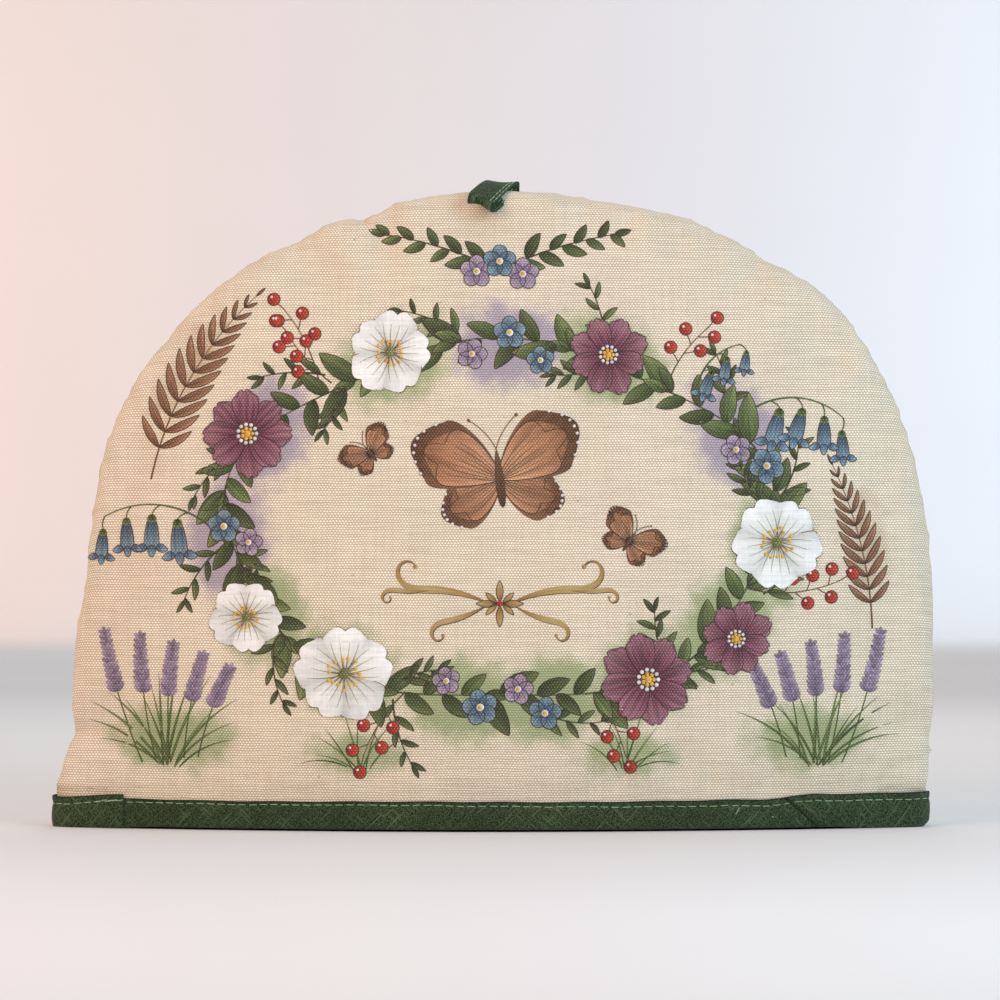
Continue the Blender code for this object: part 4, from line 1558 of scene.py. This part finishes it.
class FlowerPrint:
    """A wreath of garden flowers in thin films of ink, drawn flat in millimetres and laid on the panel."""

    base_lift: float = 0.1
    level_lift: float = 0.02
    line_width: float = 0.34
    edge_margin: float = 9.0
    ring_centre: Pair = (3.0, 119.0)
    ring_reach: Pair = (106.0, 69.0)
    roses = ((236, 1, 20, 0.3), (209, 6, 15, 1.0), (354, 2, 19, 0.9), (113, 3, 17, 0.1))
    cosmos_flowers = ((302, 2, 19, 0.2), (324, 7, 15, 0.5), (152, 5, 18, 0.0), (67, 2, 16, 0.4))
    blue_flowers = ((266, 2, 7.0), (279, 5, 6.5), (88, 5, 6.5), (81, -5, 5.5), (18, 3, 7.0), (181, 1, 6.5))
    lilac_flowers = ((274, -5, 6.0), (258, -7, 5.5), (96, -3, 6.0), (26, -4, 6.0), (187, -8, 5.5))
    bell_stems = ((188, 2.15, 56, 1.5, 4, 15), (32, 0.95, 50, -1.7, 4, 15), (44, 1.6, 30, -1.4, 3, 11))
    berry_twigs = (
        (131, 1.75, 34, 0.5, 6), (128, 2.5, 26, -0.4, 4), (52, 1.2, 26, -0.5, 5), (338, -0.2, 34, 0.6, 6),
        (250, -2.4, 30, 0.5, 5), (290, -0.9, 26, -0.4, 5),
    )
    green_clouds = (236, 262, 302, 352, 113, 67, 325, 210, 280)
    lilac_clouds = (150, 186, 30, 88)

    def __init__(self, panel: WaddedPanel, seed: int = 21) -> None:
        """Args: panel: the built front panel. seed: for the unevenness of hand-drawn shapes."""
        self.panel = panel
        self.rng = random.Random(seed)
        self.blanks: dict[tuple[int, int], Piece] = {}
        self.films: dict[tuple[Ink, bool], list[Piece]] = defaultdict(list)
        places = points_of(panel.obj)
        self.silhouette = panel.outline(places)
        faces = [tuple(face.vertices) for face in panel.obj.data.polygons]
        self.tree = BVHTree.FromPolygons([Vector(place) for place in places], faces)

    def jitter(self, reach: float, middle: float = 0.0) -> float:
        """A random number within that reach of the middle."""
        return self.rng.uniform(middle - reach, middle + reach)

    # Drawing tools.

    def blank(self, rows: int, columns: int) -> Piece:
        """The blank film with that many rows and columns of points, modelled once."""
        if (rows, columns) not in self.blanks:
            blank = flat_grid(f"blank_film_{rows}_{columns}", rows, columns, "grain")
            blank.data.attributes.new("tone", "FLOAT_COLOR", "POINT")
            bpy.context.scene.collection.objects.unlink(blank)
            self.blanks[rows, columns] = blank
        return self.blanks[rows, columns]

    def height(self, level: float) -> float:
        """How high that layer lies above the cloth, in millimetres."""
        return self.base_lift + self.level_lift * level

    def film(self, ink: Ink, places: Array, tone: Array, lift: Shares, line: bool = False) -> None:
        """Lays one film of ink.

        Args:
            ink: its ink.
            places: rows by columns of (x, z) places in millimetres.
            tone: a colour for each place.
            lift: how high each place lies above the cloth, in millimetres.
            line: whether it is a drawn line, which needs no wall round its edge.
        """
        rows, columns = places.shape[:2]
        blank = self.blank(rows, columns)
        copy = blank.copy()
        copy.data = blank.data.copy()
        flat = np.stack([places[..., 0], np.broadcast_to(lift, (rows, columns)), places[..., 1]], -1)
        move_points(copy, flat.reshape(-1, 3) * MM)
        full = np.ones((rows * columns, 4))
        full[:, :3] = np.broadcast_to(tone, (rows, columns, 3)).reshape(-1, 3)
        set_attribute(copy, "tone", full)
        self.films[ink, line].append(copy)

    def tones(self, ink: Ink, share: Array, light: float = 1.0) -> Array:
        """The ink's colours for shares from its root to its tip."""
        stops = np.array(INKS[ink].tones)
        return np.stack([np.interp(share, [0.0, 0.45, 1.0], stops[:, k]) for k in range(3)], -1) * light

    def stroke(
        self, ink: Ink, path: Array, width: float, level: float, taper: float = 0.0, light: float = 1.0
    ) -> None:
        """Draws a line of ink along a path.

        Args:
            ink: its ink.
            path: its points in millimetres.
            width: its full width in millimetres.
            level: the layer it lies in.
            taper: how much thinner its end is than its start, from 0 to 1.
            light: how much lighter than the ink it is.
        """
        run = unit(np.gradient(path, axis=0))
        share = np.linspace(0, 1, len(path))
        half = width / 2 * (1 - taper * share)
        right = np.stack([run[:, 1], -run[:, 0]], 1) * half[:, None]
        places = np.stack([path - right, path + right], 1)
        tone = self.tones(ink, share, light)[:, None, :]
        self.film(ink, places, tone, self.height(level), line=True)

    @staticmethod
    def on_petal(kind: Petal, line: Sweep, steps: Array, side: Array) -> Array:
        """Places on a petal, for steps from its root to its end and sides from -1 to 1."""
        middle, way = line.at(kind.shape.reach(steps, side))
        half = kind.shape.half_width(steps) * line.length * kind.slim / 2 * side
        return middle + to_right(way) * half[..., None]

    def petal(self, kind: Petal, line: Sweep, level: float = 0.0, light: float = 1.0) -> None:
        """Draws one petal or leaf.

        Args:
            kind: its kind.
            line: its middle line, from its root to its tip.
            level: the layer it lies in.
            light: how much lighter than its kind it is.
        """
        light *= kind.light * self.jitter(0.1, 1.0)
        shape, finish = kind.shape, INKS[kind.ink]
        steps, side = shape.steps(), np.linspace(-1, 1, shape.columns)
        share = shape.reach(steps[:, None], side[None, :])
        places = self.on_petal(kind, line, steps[:, None], side[None, :])
        tone = self.tones(kind.ink, 1 - share if kind.flipped else share, light)
        tone = tone * (1 + finish.edge * np.abs(side) ** 3 - (1 - kind.halves) * (side < 0))[None, :, None]
        swelling = np.sqrt(steps) * (1 - steps**8)
        dome = finish.raised / MM * (1 - np.abs(side) ** 3)[None, :] * swelling[:, None]
        self.film(kind.ink, places, tone, self.height(level) + dome)
        if kind.pen is None:
            return
        edge = np.concatenate([places[:, 0], places[-1, 1:-1], places[::-1, -1]])
        kept = np.concatenate([[True], np.linalg.norm(np.diff(edge, axis=0), axis=1) > 0.08])
        self.stroke(kind.pen, edge[kept], self.line_width * 0.85, level + kind.over)
        over = level + kind.over + finish.raised / MM / self.level_lift
        reach = np.linspace(0.04, 0.88 if kind.veins == 1 else 0.66, 12)
        for lean in [0.0] if kind.veins == 1 else np.linspace(-0.6, 0.6, kind.veins):
            vein = self.on_petal(kind, line, reach, lean * np.ones(len(reach)))
            self.stroke(kind.pen, vein, self.line_width * 0.8, over, 0.7)

    def dot(
        self, ink: Ink, place: Spot, size: float, level: float, light: float = 1.0, pen: Optional[Ink] = None
    ) -> None:
        """Draws a round dot of that diameter."""
        kind = Petal(ink, ROUND if size > 2.2 else TINY, 1.0, pen=pen)
        self.petal(kind, Sweep((place[0] - size / 2, place[1]), 0.0, size), level, light)

    # Plants.

    def wild_rose(self, centre: Spot, reach: float, turn: float, level: float) -> None:
        """A white rose with five heart-shaped petals and a ring of stamens."""
        for number in range(5):
            heading = turn + number * tau / 5 + self.jitter(0.06)
            line = Sweep(centre, heading, reach * self.jitter(0.05, 0.99), self.jitter(0.1))
            self.petal(ROSE_PETAL, line, level + number * 0.9)
        self.dot(Ink.GREEN, centre, reach * 0.22, level + 19.5, light=1.6)
        for stamen in range(15):
            heading = stamen * tau / 15 + self.jitter(0.1)
            line = Sweep(centre, heading, reach * self.jitter(0.06, 0.28), 0.2)
            path = line.at(np.linspace(0.25, 1, 4))[0]
            self.stroke(Ink.GOLD, path, 0.28, level + 20)
            self.dot(Ink.YELLOW, path[-1], reach * 0.075, level + 20.5)

    def cosmos(self, centre: Spot, reach: float, turn: float, level: float) -> None:
        """An open flower with eight frilled petals and a yellow eye."""
        for number in range(8):
            heading = turn + (number * 3 % 8) * tau / 8 + self.jitter(0.07)
            line = Sweep(centre, heading, reach * self.jitter(0.07, 0.98), self.jitter(0.15))
            self.petal(COSMOS_PETAL, line, level + number * 0.9)
        for ink, ring, count in ((Ink.WHITE, 0.2, 11), (Ink.YELLOW, 0.11, 7)):
            for angle in np.arange(count) * tau / count:
                self.dot(ink, centre + reach * ring * towards(angle), reach * 0.085, level + 9)
        self.dot(Ink.YELLOW, centre, reach * 0.14, level + 10)

    def little_flower(self, centre: Spot, reach: float, turn: float, level: float, ink: Ink) -> None:
        """A small round flower with five petals and a yellow eye."""
        kind = Petal(ink, ROUND, 0.92, light=1.1)
        for number in range(5):
            self.petal(kind, Sweep(centre, turn + number * tau / 5, reach), level + number * 0.4)
        self.dot(Ink.WHITE, centre, reach * 0.42, level + 3)
        self.dot(Ink.YELLOW, centre, reach * 0.26, level + 17)

    def bluebell(self, place: Array, heading: float, size: float, level: float) -> None:
        """One hanging bell: a flared body, curled lips round its mouth and a green cap."""
        self.petal(BELL_BODY, Sweep(place, heading, size), level + 0.5)
        for lean in (-1, 1, 0):
            root = place + size * (0.9 * towards(heading) + lean * 0.17 * to_right(heading))
            lip = Sweep(root, heading - lean * 0.75, size * 0.36, -lean * 0.9)
            self.petal(BELL_LIP, lip, level + 1 + 0.3 * (lean == 0))
        for lean in (-0.5, 0.0, 0.5):
            self.petal(BELL_CAP, Sweep(place, heading + lean, size * 0.26), level + 2)

    def bluebell_stem(self, line: Sweep, bells: int, size: float, level: float) -> None:
        """An arching stem with bells that hang from one side."""
        self.stroke(Ink.GREEN, line.points(20), 0.9, level, taper=0.5)
        side = -1.0 if line.bend < 0 else 1.0
        for number in range(bells):
            share = 0.38 + 0.62 * number / (bells - 1)
            place, way = line.at(share)
            stalk = Sweep(place, float(way) + side * 0.5, size * 0.35, side * 0.9).points(5)
            self.stroke(Ink.GREEN, stalk, 0.5, level + 0.2)
            down = -pi / 2 + side * 0.35 * (1 - share) + self.jitter(0.15)
            self.bluebell(stalk[-1], down, size * (1.08 - 0.35 * share), level + 1 + number * 0.5)

    def leaf(self, kind: Petal, start: Spot, heading: float, length: float, level: float) -> None:
        """A leaf of that kind with a bend and a shade of its own."""
        light = self.rng.choice((0.72, 0.9, 1.1, 1.35))
        line = Sweep(start, heading, length, self.jitter(0.5))
        self.petal(kind, line, level + self.rng.uniform(0, 0.9), light)

    def leafy_path(self, kind: Petal, path: Array, count: int, size: float, level: float) -> None:
        """A stem along a path, with leaves on alternate sides and one at its end."""
        self.stroke(kind.ink, path, 0.8, level, taper=0.5, light=0.8)
        way = np.unwrap(np.arctan2(*np.gradient(path, axis=0).T[::-1]))
        numbers = np.arange(len(path))
        for index, at in enumerate(np.linspace(0.08, 0.96, count) * (len(path) - 1)):
            x, y, heading = (float(np.interp(at, numbers, row)) for row in (*path.T, way))
            lean = (1 if index % 2 else -1) * self.jitter(0.2, 0.75)
            length = size * (1.05 - 0.45 * index / count) * self.jitter(0.12, 0.98)
            self.leaf(kind, (x, y), heading + lean, length, level + 1)
        self.leaf(kind, path[-1], float(way[-1]), size * 0.6, level + 1)

    def fern(self, line: Sweep) -> None:
        """A frond whose paired leaflets shorten towards its tip."""
        path, way = line.at(np.linspace(0, 1, 40))
        self.stroke(Ink.SEPIA, path, 0.7, 0.6, taper=0.6)
        for index in range(6, 39, 3):
            share = index / 39
            size = max(line.length * 0.19 * math.sin(pi * (0.24 + 0.72 * share)) ** 0.9, 2.4)
            for side in (-1, 1):
                leaflet = Sweep(path[index], way[index] + side * (1.1 - 0.45 * share), size, -side * 0.45)
                self.petal(LEAFLET, leaflet, 0.2 + 0.02 * index)
        self.petal(LEAFLET, Sweep(path[-1], way[-1], 4.5), 1.0)

    def lavender(self, line: Sweep) -> None:
        """A stem with a spike of small lilac florets."""
        path, way = line.at(np.linspace(0, 1, 24))
        self.stroke(Ink.GREEN, path, 0.55, 0.8, taper=0.3)
        for index in range(13, 24):
            for side in (-1, 0, 1):
                heading = way[index] + side * 0.85 + self.jitter(0.1)
                floret = Sweep(path[index], heading, 4.6 - 0.14 * (index - 13))
                self.petal(FLORET, floret, 1.5 + 0.1 * index + 0.3 * (side == 0), self.jitter(0.25, 0.95))

    def berries(self, line: Sweep, count: int, size: float = 5.0) -> None:
        """A thin twig with red berries on short stalks."""
        self.stroke(Ink.SEPIA, line.points(16), 0.55, 1.2, taper=0.4, light=0.7)
        for index in range(count):
            place, turned = line.at(0.35 + 0.65 * index / (count - 1))
            lean = float(turned) + (0.0 if index == count - 1 else (-0.9 if index % 2 else 0.9))
            stalk = Sweep(place, lean, size * 0.9, 0.3).points(4)
            self.stroke(Ink.SEPIA, stalk, 0.4, 1.4, light=0.7)
            middle = stalk[-1] + size * 0.4 * towards(lean)
            self.dot(Ink.RED, middle, size, 4 + 0.3 * index, pen=Ink.BROWN)
            self.dot(Ink.WHITE, middle + size * np.array([-0.18, 0.18]), size * 0.22, 7)

    def tuft(self, start: Spot, heading: float, length: float, count: int, spread: float) -> None:
        """Blades of grass that fan out from one place."""
        for lean in np.linspace(-1, 1, count):
            foot = (start[0] + lean * 3 + self.jitter(2), start[1] + self.jitter(1))
            line = Sweep(foot, heading - lean * spread / 2, length * self.jitter(0.22, 0.82), -lean * 0.8)
            self.petal(GRASS_BLADE, line, self.rng.uniform(0, 0.8), self.jitter(0.4, 1.1))

    def butterfly(self, centre: Spot, size: float, turn: float) -> None:
        """A butterfly with spread wings, drawn in sepia with dark margins, fine veins and pale spots."""
        up = turn + pi / 2
        for side in (-1, 1):
            for lean, reach, bend, level in ((-0.62, 0.72, 0.35, 1.0), (0.62, 1.0, -0.25, 7.0)):
                heading = up - side * (pi / 2 - lean)
                line = Sweep(centre, heading, size * reach, side * bend)
                self.petal(WING_EDGE, line, level)
                self.petal(WING_FIELD, replace(line, length=line.length * 0.85), level + 2)
                sides = np.linspace(-0.85, 0.85, 7)
                for place in self.on_petal(WING_EDGE, line, 0.96 - 0.06 * sides**2, sides):
                    self.dot(Ink.WHITE, place, size * 0.035, level + 1.5)
        tail = centre - size * 0.3 * towards(up)
        body = Sweep(tail, up, size * 0.62)
        self.petal(WING_BODY, body, 12)
        for side in (-1, 1):
            feeler = Sweep(body.at(1)[0], up - side * 0.35, size * 0.42, side * -0.6).points(8)
            self.stroke(Ink.SEPIA, feeler, 0.28, 12, light=0.6)
            self.dot(Ink.SEPIA, feeler[-1], size * 0.035, 12.4, light=0.6)

    def scroll(self, line: Sweep, curl: float, width: float) -> None:
        """A gold pen stroke that swells in its middle and curls up at its end, with a brown shadow line."""
        share = np.linspace(0, 1, 44)
        turn = line.heading + line.bend * share + curl * np.maximum(share - 0.45, 0) ** 2
        steps = np.cumsum(towards(turn[:-1]) * line.length / (len(share) - 1), axis=0)
        path = np.array(line.start) + np.concatenate([[[0, 0]], steps])
        half = width / 2 * (0.22 + np.sin(pi * np.clip(share * 1.05, 0, 1)) ** 1.3)
        right = to_right(turn) * half[:, None]
        for ink, shift, level in ((Ink.BROWN, 0.22, 2.0), (Ink.GOLD, 0.0, 3.0)):
            centre = path + np.array([shift, -shift])
            tone = self.tones(ink, 1 - 0.9 * np.abs(2 * share - 1))[:, None, :]
            self.film(ink, np.stack([centre - right, centre + right], 1), tone, self.height(level), line=True)
        self.dot(Ink.GOLD, path[-1], width * 0.8, 3.5)

    def flourish(self, x: float, z: float, size: float) -> None:
        """A pair of gold scrolls either side of a small lozenge of leaves."""
        for side in (-1, 1):
            out = 0.0 if side > 0 else pi
            for off, up, lean, length, bend, curl, width in (
                (4, 0, 0.45, size, -0.95, 17.0, 2.3),
                (6, -1, -0.55, size * 0.62, 0.75, -17.0, 1.8),
                (size * 0.55, 5, -0.1, size * 0.5, 0.5, -19.0, 1.4),
            ):
                line = Sweep((x + side * off, z + up), out + side * lean, length, side * bend)
                self.scroll(line, side * curl, width)
            for lean, reach in ((0.0, 8.0), (0.8, 6.0), (-0.8, 6.0)):
                self.petal(GOLD_LEAF, Sweep((x + side * 1.2, z), out + side * lean, reach), 3.2)
            self.petal(GOLD_LEAF, Sweep((x, z + side), side * pi / 2, 8.0), 3.6)
        self.dot(Ink.RED, (x, z), 2.4, 5)

    # The wreath.

    def ring(self, degrees: float, out: float = 0.0) -> Array:
        """A place on the wreath's oval, or that many millimetres outside it."""
        return np.array(self.ring_centre) + (np.array(self.ring_reach) + out) * towards(radians(degrees))

    def garland(self) -> None:
        """The leafy stems that follow the oval, and the finer sprigs that leave it on both sides."""
        for start in range(0, 360, 24):
            angles = np.linspace(start, start + 27, 14)
            wobble = 3.0 * np.sin(np.radians(angles * 5))
            path = np.array([self.ring(angle, shift) for angle, shift in zip(angles, wobble)])
            self.leafy_path(BROAD_LEAF, path, 7, 17.0, 1.0 + (start % 48) / 48)
        for start in range(8, 368, 30):
            for side in (-1, 1):
                if side < 0 and start % 60 != 8:
                    continue
                place = self.ring(start, side * 4)
                away = place - np.array(self.ring_centre)
                lean = side * self.jitter(0.2, 0.7)
                heading = math.atan2(away[1], away[0]) + (0 if side > 0 else pi) + lean
                line = Sweep(place, heading, self.jitter(3.5, 23.5) * (1.0 if side > 0 else 0.7), lean * 0.8)
                self.leafy_path(SLIM_LEAF, line.points(16), 6, 9.5, 0.6)

    def flowers(self) -> None:
        """The blooms of the wreath."""
        for table, draw in ((self.roses, self.wild_rose), (self.cosmos_flowers, self.cosmos)):
            for degrees, out, reach, turn in table:
                draw(self.ring(degrees, out), reach, turn, 7)
        for table, ink in ((self.blue_flowers, Ink.BLUE), (self.lilac_flowers, Ink.LILAC)):
            for degrees, out, reach in table:
                self.little_flower(self.ring(degrees, out), reach, self.rng.uniform(0, 1), 6, ink)
        for degrees, heading, length, bend, bells, size in self.bell_stems:
            self.bluebell_stem(Sweep(self.ring(degrees), heading, length, bend), bells, size, 3)
        for degrees, heading, length, bend, count in self.berry_twigs:
            self.berries(Sweep(self.ring(degrees), heading, length, bend), count)

    def surroundings(self) -> None:
        """The lavender and grass at the foot, the ferns on the shoulders and the sprig at the top."""
        up = pi / 2
        for side in (-1, 1):
            for index in range(5):
                foot = (side * (136 - 5.5 * index), 26 + 0.6 * index)
                self.lavender(Sweep(foot, up + side * (-0.42 + 0.16 * index), 52 - 4 * index, side * 0.25))
            self.tuft((side * 126, 25), up - side * 0.05, 40, 15, 1.5)
            self.tuft((side * 52, 24), up - side * 0.3, 24, 9, 1.6)
            sprig = Sweep((3 + side * 3, 219), up - side * 1.15, 44, -side * 0.25)
            self.leafy_path(BROAD_LEAF, sprig.points(16), 9, 11, 1.0)
        self.fern(Sweep((-133, 136), 1.36, 84, -0.62))
        self.fern(Sweep((148, 78), 1.6, 66, 0.42))
        for x, z, ink in ((3, 221, Ink.BLUE), (-6, 217, Ink.LILAC), (12, 216, Ink.LILAC)):
            self.little_flower((x, z), 6.5, 0.3, 6, ink)

    def middle(self) -> None:
        """The butterflies and the gold scrolls inside the wreath."""
        for place, size, turn in (((3, 136), 37, 0.12), ((-47, 146), 13, 0.7), ((53, 112), 15, -0.6)):
            self.butterfly(np.array(place), size, turn)
        self.flourish(3, 88, 50)

    def washes(self) -> list[Wash]:
        """The soft clouds of thin colour that lie under the flowers."""
        green, lilac, tan = (0.27, 0.34, 0.15), (0.33, 0.28, 0.36), (0.48, 0.34, 0.21)
        made = []
        for colour, clouds in ((green, self.green_clouds), (lilac, self.lilac_clouds)):
            for degrees in clouds:
                place = tuple(self.ring(degrees) * MM)
                made.append(Wash(place, (33 * MM, 23 * MM), radians(degrees + 90), colour))
        for side in (-1, 1):
            made.append(Wash((side * 0.124, 0.036), (0.034, 0.018), 0.0, green, 0.9))
            made.append(Wash((side * 0.052, 0.03), (0.026, 0.012), 0.0, green, 0.8))
        made.append(Wash((-0.118, 0.178), (0.04, 0.015), 1.0, tan, 0.55))
        made.append(Wash((0.145, 0.11), (0.015, 0.036), 0.0, tan, 0.55))
        return made

    # Laying the films on the panel.

    def wall_off(self, obj: Piece) -> None:
        """Extrudes the rim of every film down into the cloth, so that the ink has a thickness."""
        with editing(obj):
            bpy.ops.mesh.select_mode(type="EDGE")
            bpy.ops.mesh.select_all(action="DESELECT")
            bpy.ops.mesh.select_non_manifold(
                extend=False, use_wire=False, use_multi_face=False, use_non_contiguous=False, use_verts=False
            )
            bpy.ops.mesh.extrude_edges_move()
        sunk = np.zeros(len(obj.data.vertices), dtype=bool)
        obj.data.vertices.foreach_get("select", sunk)
        places = points_of(obj)
        places[sunk, 1] = -0.05 * MM
        move_points(obj, places)

    def press(self, obj: Piece) -> None:
        """Moves every point of the flat drawing onto the panel, lifted along the cloth's normal."""
        places = points_of(obj)
        room = self.panel.inset(places, self.silhouette).min() / MM
        if room < self.edge_margin:
            LOG.warning("%s comes within %.1f mm of the edge", obj.name, room)
        for index, (x, lift, z) in enumerate(places):
            hit, normal, _, _ = self.tree.ray_cast(Vector((x, -0.3, z)), Vector((0, 1, 0)))
            if hit is not None:
                places[index] = hit + normal * float(lift)
        move_points(obj, places)

    def lay(self, ink: Ink) -> Piece:
        """Joins all that is drawn in one ink and lays it on the panel as one piece."""
        groups = []
        for line in (False, True):
            films = self.films[ink, line]
            if films:
                for film in films:
                    bpy.context.scene.collection.objects.link(film)
                groups.append(join_all(f"print_{ink.value}", films))
                if not line:
                    self.wall_off(groups[-1])
        obj = join_all(f"print_{ink.value}", groups)
        self.press(obj)
        obj.data.materials.clear()
        pick(obj)
        bpy.ops.object.shade_smooth_by_angle(angle=radians(50))
        return declare(obj, INKS[ink])

    def build(self) -> list[Piece]:
        """Draws the wreath and lays each ink as one piece on the panel.

        Returns:
            The new pieces.
        """
        for part in (self.garland, self.surroundings, self.flowers, self.middle):
            part()
        made = [self.lay(ink) for ink in Ink]
        for blank in self.blanks.values():
            bpy.data.objects.remove(blank, do_unlink=True)
        return made


# ---- Putting it together ----


def main() -> None:
    """Builds the studio and every piece of the cosy, and reports each."""
    logging.basicConfig(level=logging.INFO, format="%(name)s: %(message)s")
    Studio().build()

    lining = DuckFinish(
        "lining_cotton", colour=(0.78, 0.72, 0.62), shadow=(0.52, 0.46, 0.37),
        pitch=(0.4 * MM, 0.45 * MM), relief_depth=0.12 * MM,
    )
    duck = DuckFinish("cream_duck_front", washed=True)
    front = WaddedPanel("cream_front_panel", "front_panel", -1, duck, lining, FRONT_CREASES)
    back = WaddedPanel("cream_back_panel", "back_panel", 1, DuckFinish("cream_duck_back"), lining)
    pieces = [front.build()]
    flowers = FlowerPrint(front)
    front.wash(flowers.washes())
    pieces += [*flowers.build(), back.build()]

    binding = HemBinding(TapeFinish("green_bias_tape"))
    tape = binding.build()
    pale = Stitcher(ThreadFinish("pale_green_thread"))
    # The join's thread: dark green thread, its near-black colour also the painted shade of the stitch holes.
    shade = ThreadFinish("dark_thread_and_hole_shade", sheen=0.0, colour=(0.01, 0.018, 0.009))
    dark = Stitcher(shade, thickness=0.85 * MM)
    sewing = [HemStitches(binding, pale).topstitch(), HemStitches(binding, dark).join()]
    panels = ["cream_front_panel", "cream_back_panel"]

    loop = HangingLoop(TapeFinish("green_loop_tape"))
    strip = loop.build()
    rows = loop.stitch(pale)
    panels[:1]
    for stitcher in (pale, dark):
        stitcher.clear()
    for piece in (*pieces, tape, *sewing, strip, rows):
        LOG.info("%s: %d faces", piece.name, len(piece.data.polygons))


if __name__ == "__main__":
    main()
